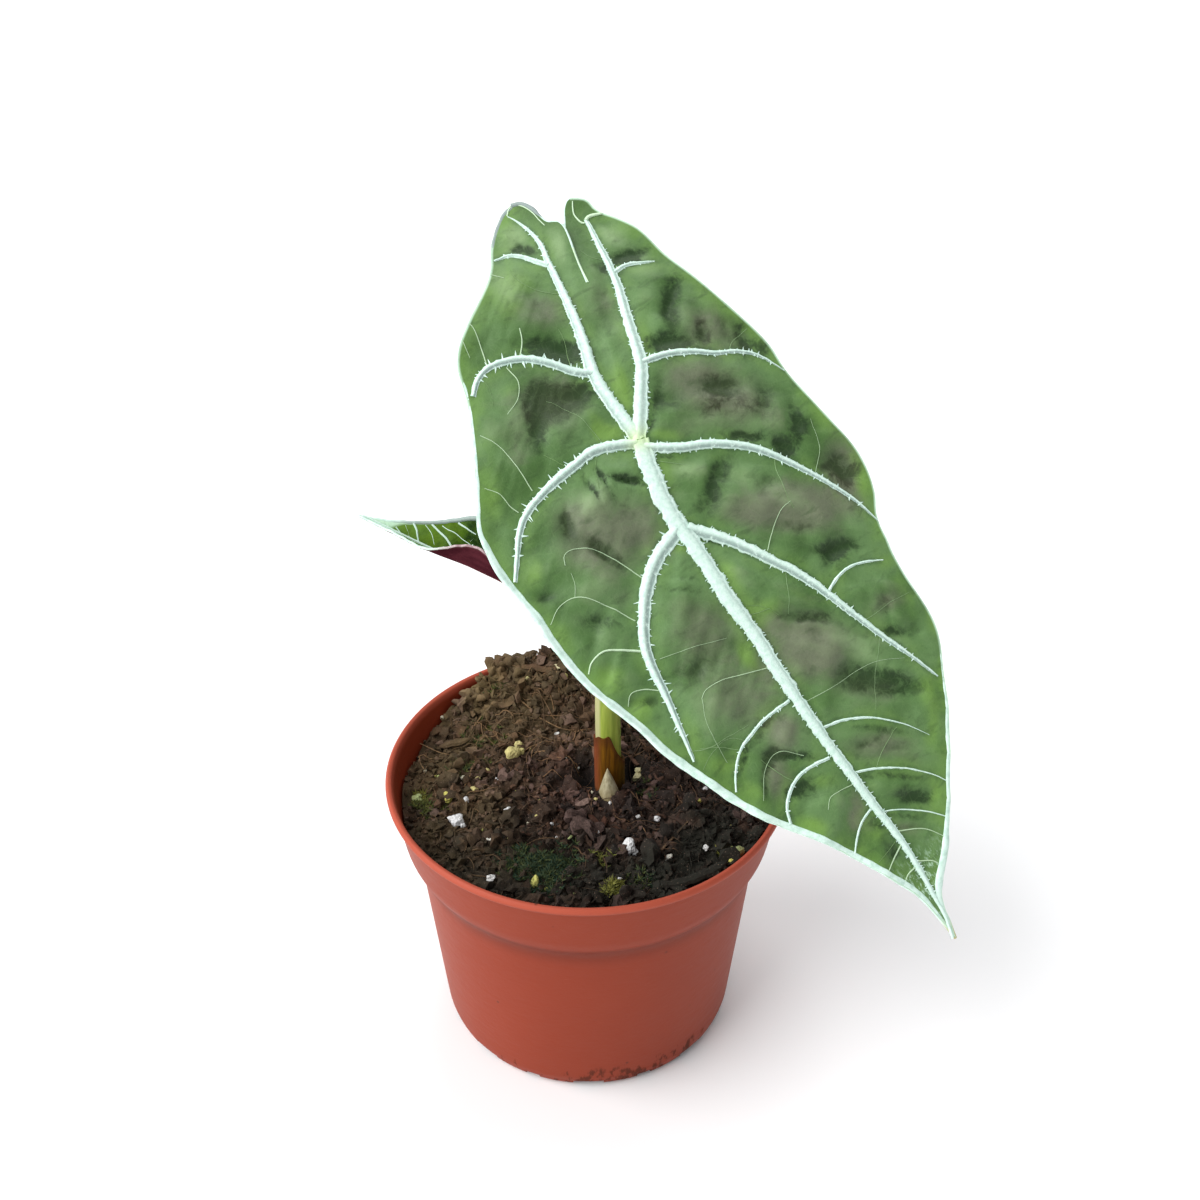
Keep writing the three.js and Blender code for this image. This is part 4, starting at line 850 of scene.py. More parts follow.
def make_crumbs(material, rng):
    grains = []
    for count, least, most, detail, rough, sunk in ((340, 0.7, 1.6, 2, 0.8, 0.3), (4600, 0.16, 0.7, 1, 0.5, 0.5)):
        for index in range(count):
            size = rng.uniform(least, most)
            x, y = free_spot(rng, SOIL_EDGE - size * 1.1, size)
            # Crumbs in the pits get a lower tone, which the paint turns into painted shade.
            tone = rng.random() ** 1.4 - 0.3 * pit_depth(x, y)
            if pit_depth(x, y) < 2.5:
                grains.append(((x, y, crumbled_height(x, y) + size * sunk), size, detail, rng, rough, tone))
    own = random.Random(31)
    for index in range(1500):
        size = own.uniform(0.25, 1.2)
        x, y = own.gauss(MOUND[0], MOUND[3] * 0.75), own.gauss(MOUND[1], MOUND[4] * 0.75)
        if math.hypot(x, y) < SOIL_EDGE - size and y > 14:
            grains.append(((x, y, crumbled_height(x, y) + size * 0.4), size, 1, own, 0.7, own.random() ** 1.4))
    for across, down, size, tone in CLODS_SEEN:
        x, y = soil_spot((across, down))
        inward = min(1, (SOIL_EDGE - size * 0.7) / math.hypot(x, y))
        x, y = x * inward, y * inward
        grains.append(((x, y, crumbled_height(x, y) + size * 0.5), size, 3, rng, 0.75, tone))
    mesh = new_mesh("tone")
    add_in_groups(mesh, ["tone"], grains, speck)
    return make_piece(mesh, "soil_crumbs", material, (), 50)


def add_chip(mesh, x, y, long, wide, thick, turn, bend, shade, lift=0.5):
    """A splinter of bark that lies along the soil, bent sideways."""
    heading = math.radians(turn)
    steps = max(4, round(long / 0.9))
    line = []
    for part in range(steps + 1):
        reach = long * (part / steps - 0.5)
        sway = bend * ((part / steps - 0.5) ** 2 - 0.1)
        at_x = x + reach * math.cos(heading) - sway * math.sin(heading)
        at_y = y + reach * math.sin(heading) + sway * math.cos(heading)
        inward = min(1, (SOIL_EDGE - 0.8) / max(math.hypot(at_x, at_y), 1))
        line.append(Vector((at_x * inward, at_y * inward, 0)))
    level = sum(crumbled_height(spot.x, spot.y) for spot in line) / len(line)
    for spot in line:
        spot.z = blend(level, crumbled_height(spot.x, spot.y), 0.5) + thick * lift
    shift = 90 * shade

    def width(t):
        ragged = 1 + 0.35 * noise.noise(Vector((t * long * 0.7, shift, 0)))
        return wide / 2 * ragged * (1 - 0.75 * abs(2 * t - 1) ** 5)

    add_tube(mesh, line, width, 7, {"tone": lambda t, out: shade}, thick / wide)


def make_bark(material, rng):
    """Splinters and chips of bark, lying at random, and the few that show best."""
    chips = [(*soil_spot(chip[:2]), *chip[2:]) for chip in BARK]
    for index in range(120):
        size = rng.uniform(1.6, 6.0)
        x, y = free_spot(rng, SOIL_EDGE - size * 0.6, size * 0.5)
        wide = rng.uniform(0.5, 1.5)
        thick = wide * rng.uniform(0.35, 0.8)
        chips.append((x, y, size, wide, thick, rng.uniform(0, 180), rng.uniform(-1, 1), rng.random()))
    mesh = new_mesh("tone")
    add_in_groups(mesh, ["tone"], chips, add_chip)
    return make_piece(mesh, "bark_chips", material, (), 30)


def add_fibre(mesh, line, radius, tone):
    add_tube(mesh, smooth_line(line, 14), lambda t: radius * (1 - 0.6 * t), 4, {"tone": lambda t, out: tone})


def fibre_line(x, y, rng):
    """A wandering line over the soil that keeps clear of the stalk and the wall."""
    turn = rng.uniform(0, 6.3)
    step = rng.uniform(0.6, 1.5)
    rise = rng.uniform(0.2, 1.2)
    count = rng.randint(6, 11)
    line = []
    for part in range(count):
        arch = rise * math.sin(math.pi * part / (count - 1))
        line.append(Vector((x, y, crumbled_height(x, y) + 0.25 + arch)))
        turn += rng.uniform(-0.5, 0.5)
        next_x, next_y = x + step * math.cos(turn), y + step * math.sin(turn)
        if math.hypot(next_x, next_y) > SOIL_EDGE - 0.8 or (Vector((next_x, next_y, 0)) - CROWN).length < 3.6:
            turn += 2.2
            next_x, next_y = x + step * math.cos(turn), y + step * math.sin(turn)
        x, y = next_x, next_y
    return line


def make_fibres(material, rng):
    """Rootlets and coir, tan to dark, that wander over the soil."""
    fibres = []
    for radius, tone, pixels in STRANDS_SEEN:
        places = [soil_spot(pixel) for pixel in pixels]
        fibres.append(([Vector((x, y, crumbled_height(x, y) + 0.5 + radius)) for x, y in places], radius, tone))
    for index in range(620):
        x, y = (rng.uniform(-26, 14), rng.uniform(14, 37)) if index < 190 else free_spot(rng, SOIL_EDGE - 3, 1)
        if math.hypot(x, y) < SOIL_EDGE - 2:
            fibres.append((fibre_line(x, y, rng), rng.uniform(0.05, 0.17), 0.9 * rng.random() ** 1.8))
    mesh = new_mesh("tone")
    add_in_groups(mesh, ["tone"], fibres, add_fibre)
    return make_piece(mesh, "rootlets", material, (), 80)


# Grains of perlite as they show: pixel, radius in millimetres and tone, from 0 grey-white over 0.4 cream and
# 0.7 yellow to 1 pale green.
PERLITE_SEEN = [
    (519, 746, 1.3, 0.42), (513, 758, 1.9, 0.5), (520, 755, 1.3, 0.45), (449, 799, 1.2, 0.72), (417, 798, 1.0, 0.98),
    (466, 802, 0.9, 0.1), (456, 823, 1.5, 0.05), (463, 828, 0.7, 0.1), (509, 813, 1.2, 0.1), (510, 818, 0.8, 0.2),
    (497, 830, 0.65, 0.1), (490, 841, 0.85, 0.25), (497, 779, 0.6, 0.15), (478, 778, 0.6, 0.5), (463, 779, 0.55, 0.3),
    (474, 789, 0.9, 0.5), (487, 769, 0.6, 0.55), (442, 717, 0.6, 0.3), (557, 665, 0.8, 0.35), (527, 677, 0.6, 0.4),
    (558, 835, 0.55, 0.2), (528, 820, 0.5, 0.3), (629, 849, 1.6, 0.0), (635, 851, 1.1, 0.0), (657, 819, 0.7, 0.1),
    (706, 848, 0.9, 0.2), (669, 858, 0.9, 0.25), (726, 857, 1.4, 0.8), (739, 852, 1.2, 0.95), (733, 850, 0.8, 0.9),
    (731, 861, 0.9, 0.75), (638, 762, 1.3, 0.36), (639, 758, 1.0, 0.36), (610, 801, 0.5, 0.2), (592, 790, 0.5, 0.3),
    (491, 881, 1.0, 0.2), (535, 886, 1.2, 0.85), (546, 889, 0.7, 0.8), (573, 892, 0.5, 1.0), (578, 760, 0.4, 0.2),
    (425, 770, 0.4, 0.3), (598, 834, 0.4, 0.1), (684, 776, 0.5, 0.35),
]


def soil_spot(pixel):
    """The place on the soil that shows at a pixel."""
    way = sight(*pixel)
    reach = (SOIL_LEVEL + 14 - CAMERA_AT.z) / way.z
    spot = CAMERA_AT + way * reach
    while spot.z > soil_height(spot.x, spot.y) + 0.6:
        spot += way * 0.2
    return spot.x, spot.y


def make_perlite(rng):
    paint = Paint("perlite_grains")
    place = paint.place()
    tone = paint.layer("tone")
    colour = paint.mix(paint.ease(tone, 0.15, 0.45), tint(222, 222, 222), tint(206, 194, 128))
    colour = paint.mix(paint.ease(tone, 0.55, 0.75), colour, tint(196, 190, 96))
    colour = paint.mix(paint.ease(tone, 0.8, 0.95), colour, tint(158, 170, 112))
    pores = paint.cells(place, 1900)
    colour = paint.mix((1 - paint.ease(pores, 0.1, 0.35)) * 0.45, colour, tint(120, 96, 70))
    normal = paint.bump(pores, 0.0005, 0.7)
    grains = []
    for across, down, size, tone in PERLITE_SEEN:
        x, y = soil_spot((across, down))
        grains.append(((x, y, crumbled_height(x, y) + size * 0.8), size * 0.84, 3, rng, 0.24, tone))
    for index in range(46):
        size = rng.uniform(0.25, 0.55)
        x, y = free_spot(rng, SOIL_EDGE - 2, size)
        grains.append(((x, y, crumbled_height(x, y) + size * 0.9), size, 2, rng, 0.3, rng.random()))
    mesh = new_mesh("tone")
    add_in_groups(mesh, ["tone"], grains, speck)
    return make_piece(mesh, "perlite", paint.finish(colour, 0.85, normal), (), 60)


def add_moss_shoot(mesh, foot, tone, rng):
    for leaf in range(8):
        turn = leaf * math.pi / 4 + rng.uniform(-0.3, 0.3)
        lean = rng.uniform(0.5, 1.25)
        long = rng.uniform(0.7, 1.6)
        way = Vector((math.cos(turn) * math.sin(lean), math.sin(turn) * math.sin(lean), math.cos(lean)))
        turned = way.to_track_quat("Z", "Y").to_matrix().to_4x4()
        made = bmesh.ops.create_cone(
            mesh, cap_ends=True, segments=3, radius1=0.24 * MM, radius2=0.02 * MM, depth=long * MM,
            matrix=Matrix.Translation((foot + way * long / 2) * MM) @ turned,
        )
        value = min(max(tone + rng.uniform(-0.15, 0.2), 0), 1)
        for vertex in made["verts"]:
            vertex[mesh.verts.layers.float["tone"]] = value


MOSS = [
    # Pixel of its middle, spread in millimetres, shoots and tone: 0 dark green, 1 yellow-green
    (528, 862, 4.4, 190, 0.05), (545, 880, 5.2, 190, 0.03), (562, 862, 3.6, 90, 0.06), (510, 868, 3.4, 70, 0.08),
    (613, 884, 2.6, 34, 0.55), (608, 858, 2.6, 16, 0.42), (428, 806, 3.6, 40, 0.3), (418, 796, 2.0, 16, 0.6),
    (479, 739, 6.0, 30, 0.28), (460, 770, 4, 20, 0.25), (640, 880, 3.4, 26, 0.1), (726, 856, 2.0, 12, 0.6),
    (646, 792, 3.0, 16, 0.12), (497, 680, 3, 14, 0.25),
]


def make_moss(rng):
    """Moss shoots: tufts of narrow leaves in a few patches."""
    paint = Paint("moss")
    colour = paint.mix(paint.layer("tone"), tint(22, 50, 30), tint(138, 134, 50))
    shoots = []
    for across, down, spread, count, tone in MOSS:
        middle_x, middle_y = soil_spot((across, down))
        for index in range(count):
            x, y = rng.gauss(middle_x, spread * 0.45), rng.gauss(middle_y, spread * 0.45)
            if math.hypot(x, y) < SOIL_EDGE - 2:
                shoots.append((Vector((x, y, crumbled_height(x, y) + 0.3)), tone, rng))
    mesh = new_mesh("tone")
    add_in_groups(mesh, ["tone"], shoots, add_moss_shoot)
    return make_piece(mesh, "moss_tufts", paint.finish(colour, 0.7), (), 80)


# Stems, sheath and shoot

def leaf_axes():
    face, pitch, swing = LEAF_FACING, LEAF_PITCH, LEAF_SWING
    normal = Vector((math.sin(face) * math.cos(pitch), -math.cos(face) * math.cos(pitch), math.sin(pitch)))
    down = Vector((math.sin(face) * math.sin(pitch), -math.cos(face) * math.sin(pitch), -math.cos(pitch)))
    level = Vector((math.cos(face), math.sin(face), 0))
    along = down * math.cos(swing) + level * math.sin(swing)
    return along, normal.cross(along), normal


def small_axes():
    along = Vector((
        math.cos(SMALL_HEADING) * math.cos(SMALL_CLIMB), math.sin(SMALL_HEADING) * math.cos(SMALL_CLIMB),
        math.sin(SMALL_CLIMB),
    ))
    across = Vector((-math.sin(SMALL_HEADING), math.cos(SMALL_HEADING), 0))
    return along, across, along.cross(across)


ALONG, ACROSS, NORMAL = leaf_axes()
SMALL_ALONG, SMALL_ACROSS, SMALL_NORMAL = small_axes()


def stalk_paint():
    """Yellow-green stalk with faint lengthwise lines and a pale strip on its left, partly its own colour and partly
    painted light, with painted shade on its right.
    """
    paint = Paint("living_stalk")
    place = paint.place()
    left = paint.layer("left")
    up = paint.layer("up")
    lines = paint.cloud(paint.stretched(place, (1500, 1500, 90)), 1.0, 3)
    colour = paint.mix(paint.ease(lines, 0.3, 0.7), tint(128, 148, 48), tint(156, 172, 70))
    # The left side faces the window light: its pale strip is partly the stalk's own colour and partly painted light,
    # and the far side is painted darker as shade.
    colour = paint.mix(paint.ease(left, 0.80, 0.93) * 0.85, colour, tint(186, 182, 134))
    colour = paint.mix(paint.ease(0 - left, 0.3, 0.9) * 0.6, colour, tint(84, 104, 26))
    colour = paint.mix(paint.ease(up, 0.55, 0.95), colour, tint(196, 222, 160))
    colour = paint.mix(1 - paint.ease(up, 0.03, 0.13), colour, tint(196, 190, 140))
    normal = paint.bump(lines, 0.0002, 0.5)
    return paint.finish(colour, 0.42 + lines * 0.1, normal, Subsurface_Weight=0.08, Subsurface_Radius=(0.001, 0.0015, 0.0005))


def stem_radius(t):
    lower = blend(STEM_RADII[0], STEM_RADII[1], smooth_step(0, 0.25, t))
    return blend(lower, STEM_RADII[2], smooth_step(0.3, 1, t))


def make_stalks():
    material = stalk_paint()
    # The left number is largest on the side that faces the window light at the left front.
    layers = {"left": lambda t, out: -out.x * 0.92 - out.y * 0.38, "up": lambda t, out: t}
    end = LEAF_AT - NORMAL * (HUB_DROP + GAP)
    path = [*STEM_POINTS, end - NORMAL * STEM_LAST_RUN, end + NORMAL * 1.2]
    mesh = new_mesh("left", "up")
    add_tube(mesh, smooth_line(path, 120), stem_radius, 28, layers)
    make_piece(mesh, "leaf_stalk", material, ["large_stem"], 60)
    end = SMALL_AT - SMALL_NORMAL * (SMALL_HUB_DROP + GAP)
    path = [*SMALL_STEM_POINTS, end - SMALL_NORMAL * SMALL_STEM_LAST_RUN, end + SMALL_NORMAL]
    mesh = new_mesh("left", "up")
    add_tube(mesh, smooth_line(path, 70), lambda t: blend(*SMALL_STEM_RADII, t), 18, layers)
    make_piece(mesh, "small_leaf_stalk", material, ["small_stem"], 60)


def make_shoot():
    paint = Paint("new_shoot_skin")
    place = paint.place()
    up = paint.layer("up")
    lines = paint.cloud(paint.stretched(place, (1700, 1700, 120)), 1.0, 3)
    colour = paint.mix(paint.ease(lines, 0.3, 0.7), tint(132, 124, 94), tint(172, 164, 134))
    colour = paint.mix(1 - paint.ease(up, 0.5, 0.8), colour, tint(122, 104, 66))
    mesh = new_mesh("up")
    shape = lambda t: (SHOOT_RADIUS - SHOOT_TIP_RADIUS) * (1 - t ** 2.2) + SHOOT_TIP_RADIUS * (1 - t)
    add_tube(mesh, smooth_line(SHOOT_POINTS, 40), shape, 20, {"up": lambda t, out: t})
    material = paint.finish(colour, 0.6, paint.bump(lines, 0.0002, 0.5), Specular_IOR_Level=0.25)
    make_piece(mesh, "pale_shoot", material, ["new_shoot"], 60)


def make_sheath():
    """The dry sheath: a torn, wavy top, rust in the middle and red-brown at its left edge."""
    paint = Paint("papery_sheath")
    place = paint.place()
    left = paint.layer("left")
    up = paint.layer("up")
    veins = paint.cloud(paint.stretched(place, (1300, 1300, 130)), 1.0, 4, 0.6)
    colour = paint.mix(paint.ease(veins, 0.3, 0.7), tint(74, 44, 2), tint(122, 80, 8))
    colour = paint.mix(paint.ease(left, 0.45, 0.9) * 0.8, colour, tint(124, 60, 38))
    colour = paint.mix(paint.ease(0 - left, 0.3, 0.9) * 0.6, colour, tint(92, 74, 16))
    colour = paint.mix(paint.ease(up, 0.86, 0.98) * 0.6, colour, tint(78, 40, 14))
    colour = paint.mix((1 - paint.ease(up, 0.25, 0.55)) * 0.7, colour, tint(112, 76, 40))
    mesh = new_mesh("left", "up", "under")
    left_layer, up_layer = [mesh.verts.layers.float[name] for name in ("left", "up")]
    low = CORM_TOP + GAP
    start = math.pi / 2 + SHEATH_OPENING
    sweep = 2 * math.pi - 2 * SHEATH_OPENING
    for vertex, around, rise in add_grid(mesh, 60, 40):
        turn = start + sweep * around
        side = (1 + math.cos(turn)) / 2
        top = SHEATH_TOP + SHEATH_FRONT_RISE * max(0, -math.sin(turn)) + 0.25 * math.sin(turn * 7)
        top -= SHEATH_RIGHT_FALL * smooth_step(0.45, 1, side)
        z = blend(low, top, rise)
        radius = SHEATH_INNER + 0.05 * (1 + math.sin(turn * 9)) * rise
        vertex.co = Vector((CROWN.x + radius * math.cos(turn) - (z - low) * SHEATH_LEAN, radius * math.sin(turn), z)) * MM
        vertex[left_layer] = -math.cos(turn)
        vertex[up_layer] = rise
    centre = Vector((CROWN.x, 0, 0)) * MM
    thicken(mesh, lambda v: Vector((v.co.x - centre.x, v.co.y, 0)).normalized() * SHEATH_WALL * MM)
    material = paint.finish(colour, 0.6, paint.bump(veins, 0.0004, 0.8), Specular_IOR_Level=0.2)
    make_piece(mesh, "papery_sheath", material, ["sheath"], 60)


# Large leaf

def leaf_form(x, y):
    """Height of the blade over its plane: arched along, with drooping halves."""
    arch = -TIP_DROOP * (x / LEAF_LENGTH) ** 2 if x > 0 else -LOBE_DROOP * (x / LOBE_LENGTH) ** 2
    out = abs(y) / HALF_WIDTH
    return arch + HALF_RISE * out - HALF_DROOP * out * out


def tree_of(lines, spacing=0.4):
    """A search tree of spots along lines, each a path with its widths at both ends."""
    spots = []
    for path, root, end in lines:
        count = max(2, round(line_length(path) / spacing))
        for index, spot in enumerate(smooth_line(path, count)):
            spots.append((spot, blend(root, end, index / count) / 2))
    tree = KDTree(len(spots))
    for index, (spot, half) in enumerate(spots):
        tree.insert(spot, index)
    tree.balance()
    return tree, [half for spot, half in spots]


def leaf_spot(pixel, lift=0.4):
    """The place in the leaf's plane that shows at a pixel."""
    way = sight(*pixel)
    height = 0
    for attempt in range(12):
        reach = (LEAF_AT + NORMAL * height - CAMERA_AT).dot(NORMAL) / way.dot(NORMAL)
        spot = CAMERA_AT + way * reach - LEAF_AT
        x, y = spot.dot(ALONG), spot.dot(ACROSS)
        height = leaf_form(x, y) + lift
    return x, y


LEFT_SLIT, RIGHT_SLIT = [
    [leaf_spot(pixel) for pixel in seen] + [APEX] for seen in (LEFT_SLIT_SEEN, RIGHT_SLIT_SEEN)
]
LEFT_MARGIN, RIGHT_MARGIN = [
    [leaf_spot(pixel) for pixel in seen] + [MIDRIB[-1]] for seen in (LEFT_MARGIN_SEEN, RIGHT_MARGIN_SEEN)
]
VEINS = [(side, root, end, [leaf_spot(pixel) for pixel in path]) for side, root, end, path in VEINS_SEEN]
VEIN_TREE, VEIN_HALVES = tree_of([(path, root, end) for side, root, end, path in VEINS])
EDGE_TREE = tree_of([(path, 0, 0) for path in (LEFT_MARGIN, RIGHT_MARGIN, LEFT_SLIT, RIGHT_SLIT)])[0]
MARGIN_TREE = tree_of([(path, 0, 0) for path in (LEFT_MARGIN, RIGHT_MARGIN)])[0]


def vein_distance(x, y):
    return VEIN_TREE.find(Vector((x, y, 0)))[2]


def vein_gap(x, y):
    """Distance to the edge of the nearest main vein."""
    spot, index, distance = VEIN_TREE.find(Vector((x, y, 0)))
    return max(distance - VEIN_HALVES[index], 0)


def edge_gap(x, y):
    return EDGE_TREE.find(Vector((x, y, 0)))[2]


def margin_gap(x, y):
    return MARGIN_TREE.find(Vector((x, y, 0)))[2]


def patch_sum(patches, across, down):
    """How strongly a pixel lies in any of the soft patches."""
    total = 0
    for at_x, at_y, wide, high, turn, strength in patches:
        dx, dy = across - at_x, down - at_y
        if abs(dx) < 90 and abs(dy) < 90:
            c, s = math.cos(math.radians(turn)), math.sin(math.radians(turn))
            u, v = (dx * c + dy * s) / wide / PATCH_SPREAD, (dy * c - dx * s) / high / PATCH_SPREAD
            if u * u + v * v < 6:
                total += strength * math.exp(-u * u - v * v)
    return total


def wandering(x, y):
    """The pixel of a place in the leaf's plane, shifted a little so that patches get ragged edges."""
    across, down = seen_at(LEAF_AT + ALONG * x + ACROSS * y + NORMAL * (leaf_form(x, y) + 0.5))
    shift = 5 * noise.noise(Vector((x / 4, y / 4, 11))) + 2.5 * noise.noise(Vector((x / 1.3, y / 1.3, 2)))
    return across + shift, down + 0.6 * shift


def leaf_bumps(x, y):
    """Bubbles, pleats and hollows between the veins, flat at the veins and at the edge."""
    clear = 1 - math.exp(-((vein_distance(x, y) / 3.2) ** 2))
    inland = smooth_step(0, 4, edge_gap(x, y))
    bubbles = 1.1 * noise.noise(Vector((x / 9, y / 9, 3))) + 0.75 * noise.noise(Vector((x / 4.2, y / 4.2, 8)))
    slant = x - 0.75 * abs(y)
    pleats = 0.45 * noise.noise(Vector((slant / 2.2, y / 9, 5))) * smooth_step(-30, 60, x)
    pleats += 0.2 * noise.noise(Vector((slant / 1.1, y / 5, 12)))
    return clear * inland * (bubbles + pleats - 1.1 * patch_sum(HOLLOWS, *wandering(x, y)))


def leaf_height(x, y, side):
    quilt = QUILT_RISE * (1 - math.exp(-((vein_distance(x, y) / QUILT_REACH) ** 2)))
    away = 1 - smooth_step(LEAF_LENGTH - TIP_FADE, LEAF_LENGTH, x)
    return leaf_form(x, y) + (quilt + leaf_bumps(x, y)) * away + lobe_shift(x, y, side)


def lobe_shift(x, y, side):
    """Lifts the left lobe's inner edge over the right one's."""
    lobes = smooth_step(-APEX[0], LOBE_LIFT_AT, -x)
    return -side * LOBE_LIFT * lobes * math.exp(-(((y - SLIT_Y) / SLIT_REACH) ** 2))


def on_leaf(x, y, height):
    return (LEAF_AT + ALONG * x + ACROSS * y + NORMAL * height) * MM


def leaf_halves():
    """Inner and outer line of each half, from its lobe to the tip, with its side."""
    ahead = smooth_line(MIDRIB, ROWS - SLIT_ROWS - BRIDGE_ROWS)
    middle = smooth_line(BRIDGE, BRIDGE_ROWS)[1:] + ahead[1:]
    return [
        (smooth_line(slit, SLIT_ROWS) + middle, smooth_line(margin, ROWS), side)
        for slit, margin, side in ((LEFT_SLIT, LEFT_MARGIN, -1), (RIGHT_SLIT, RIGHT_MARGIN, 1))
    ]


def blade_paint(name, greens, lime_tone, maroons, shine):
    """Leaf skin: quilted greens over the leaf's own plane, with a maroon underside, and painted sheen, shade and light
    laid into its colour.
    """
    paint = Paint(name)
    flat = paint.layer_vector("flat")
    vein = paint.layer("vein")
    edge = paint.layer("edge")
    bumps = paint.layer("bumps")
    under = paint.layer("under")
    broad = paint.cloud(flat, 0.055, 3, 0.6)
    patch = paint.cloud(flat, 0.13, 4, 0.6, 0.6)
    fine = paint.cloud(flat, 0.9, 5, 0.7)
    streak = paint.cloud(paint.stretched(flat, (0.5, 0.22, 1)), 1.0, 4, 0.6, 0.5)
    colour = paint.mix(paint.ease(broad, 0.35, 0.65), *greens)
    # Painted sheen: grey patches stand for light reflected off the glossy blade, over its own grey mottling.
    grey = paint.layer("grey") * (0.55 + streak * 0.8) + paint.ease(patch, 0.5, 0.75) * 0.3
    colour = paint.mix(paint.ease(grey, 0.12, 1.05) * 0.95, colour, tint(102, 108, 86))
    lime = paint.layer("lime") * (0.6 + patch * 0.7)
    colour = paint.mix(paint.ease(lime, 0.1, 1.2) * 0.75, colour, lime_tone)
    # Painted sheen: pale patches where the glossy blade reflects the light.
    pale = paint.layer("pale") * (0.5 + fine * 0.9)
    colour = paint.mix(paint.ease(pale, 0.1, 1.0) * 0.7, colour, tint(142, 168, 120))
    near = (1 - paint.ease(vein, 0.2, 3.2)) * paint.ease(paint.cloud(flat, 0.16, 3), 0.42, 0.64)
    colour = paint.mix(near * 0.4, colour, tint(108, 142, 70))
    # Painted shade: a dark band on the blade right beside the ribs.
    rib_painted_shade = (1 - paint.ease(vein, 0.1, 0.9)) * paint.ease(paint.cloud(flat, 0.3, 3), 0.4, 0.6)
    colour = paint.mix(rib_painted_shade * 0.4, colour, tint(44, 74, 46))
    rim = (1 - paint.ease(edge, 0.4, 5)) * paint.ease(paint.cloud(flat, 0.12, 3), 0.38, 0.6)
    colour = paint.mix(rim * 0.5, colour, tint(108, 146, 64))
    colour = paint.mix(paint.ease(streak, 0.5, 0.75) * 0.45, colour, tint(50, 74, 38))
    # The dark layer: on the large leaf, its patches are partly the leaf's own mottling and partly painted shade in the
    # hollows pressed into the blade.
    broken = paint.ease(paint.cloud(flat, 0.42, 4, 0.7, 0.6), 0.36, 0.62)
    dark = paint.layer("dark") * (0.5 + streak * 0.5 + fine * 0.5) * (0.55 + 0.7 * broken)
    brown = paint.mix(paint.ease(paint.layer("grey"), 0.1, 0.9), tint(28, 50, 20), tint(48, 52, 32))
    colour = paint.mix(paint.ease(dark, 0.12, 0.95) * 0.92, colour, brown)
    # Painted shade in the blade's hollows and painted light on its crests, following its bumps.
    hollow = 1 - paint.ease(bumps, -1.2, -0.1)
    colour = paint.mix(hollow * 0.45, colour, tint(44, 70, 32))
    bump_painted_light = paint.ease(bumps, 0.15, 0.7)
    colour = paint.mix(bump_painted_light * 0.25, colour, tint(128, 143, 108))
    net = paint.cells(flat, 0.62, "DISTANCE_TO_EDGE")
    lines = 1 - paint.ease(net, 0.01, 0.06)
    colour = paint.mix(lines * 0.04, colour, tint(150, 176, 120))
    tip = paint.layer("tip")
    web = paint.ease(paint.cloud(paint.stretched(flat, (0.6, 1.6, 1)), 1.0, 4, 0.7), 0.5, 0.62)
    colour = paint.mix(tip * web * 0.6, colour, tint(206, 236, 214))
    colour = paint.mix((1 - paint.ease(edge, 0.1, 0.6)) * 0.85, colour, tint(206, 236, 212))
    colour = paint.mix(paint.ease(fine, 0.5, 0.75) * 0.25, colour, tint(52, 80, 38))
    maroon = paint.mix(paint.ease(patch, 0.35, 0.7), *maroons)
    maroon = paint.mix((1 - paint.ease(edge, 0.2, 1.0)) * 0.3, maroon, tint(120, 84, 80))
    colour = paint.mix(under, colour, maroon)
    rough = 0.42 + fine * 0.16
    normal = paint.bump(fine * 0.7 + patch * 0.6, 0.3 * MM, 0.5)
    return paint.finish(colour, rough, normal, Specular_IOR_Level=shine)


def vein_paint():
    """Mint-white ribs with painted grey shade in their groove, yellow-green at the stalk and dull red below."""
    paint = Paint("pale_rib")
    flat = paint.layer_vector("flat")
    under = paint.layer("under")
    root = paint.layer("root")
    fine = paint.cloud(flat, 1.2, 4, 0.6)
    colour = paint.mix(paint.ease(fine, 0.35, 0.7), tint(214, 236, 225), tint(192, 220, 207))
    # Painted shade: grey along the rib's groove.
    groove = paint.layer("groove") * paint.ease(fine, 0.25, 0.5)
    colour = paint.mix(groove * 0.8, colour, tint(118, 138, 132))
    colour = paint.mix(root * 0.6, colour, tint(200, 222, 140))
    colour = paint.mix(under, colour, tint(132, 84, 76))
    return paint.finish(colour, 0.5, paint.bump(fine, 0.15 * MM, 0.5), Specular_IOR_Level=0.4)


def make_blade(material):
    names = ["vein", "edge", "bumps", "dark", "grey", "lime", "pale", "tip"]
    mesh = new_mesh(*names, "under", "flat")
    vein, edge, bumps, dark, grey, lime, pale, tip = [mesh.verts.layers.float[name] for name in names]
    flat = mesh.verts.layers.float_vector["flat"]
    for inner, outer, side in leaf_halves():
        for vertex, across, along in add_grid(mesh, HALF_COLUMNS, ROWS):
            row = round(along * ROWS)
            spot = inner[row].lerp(outer[row], across)
            x, y = spot.x, spot.y
            vertex[vein] = vein_gap(x, y)
            vertex[edge] = margin_gap(x, y)
            vertex[bumps] = leaf_bumps(x, y)
            pixel = wandering(x, y)
            vertex[dark] = patch_sum(HOLLOWS, *pixel)
            vertex[grey] = patch_sum(GREY_SHEENS, *pixel)
            vertex[lime] = patch_sum(LIMES, *pixel)
            vertex[pale] = patch_sum(PALE_SHEENS, *pixel)
            vertex[tip] = smooth_step(90, 100, x)
            vertex[flat] = spot
            vertex.co = on_leaf(x, y, leaf_height(x, y, side))
    merge(mesh)
    thicken(mesh, lambda vertex: NORMAL * -BLADE * MM)
    return make_piece(mesh, "leaf_blade", material, ["large_leaf"], 70)


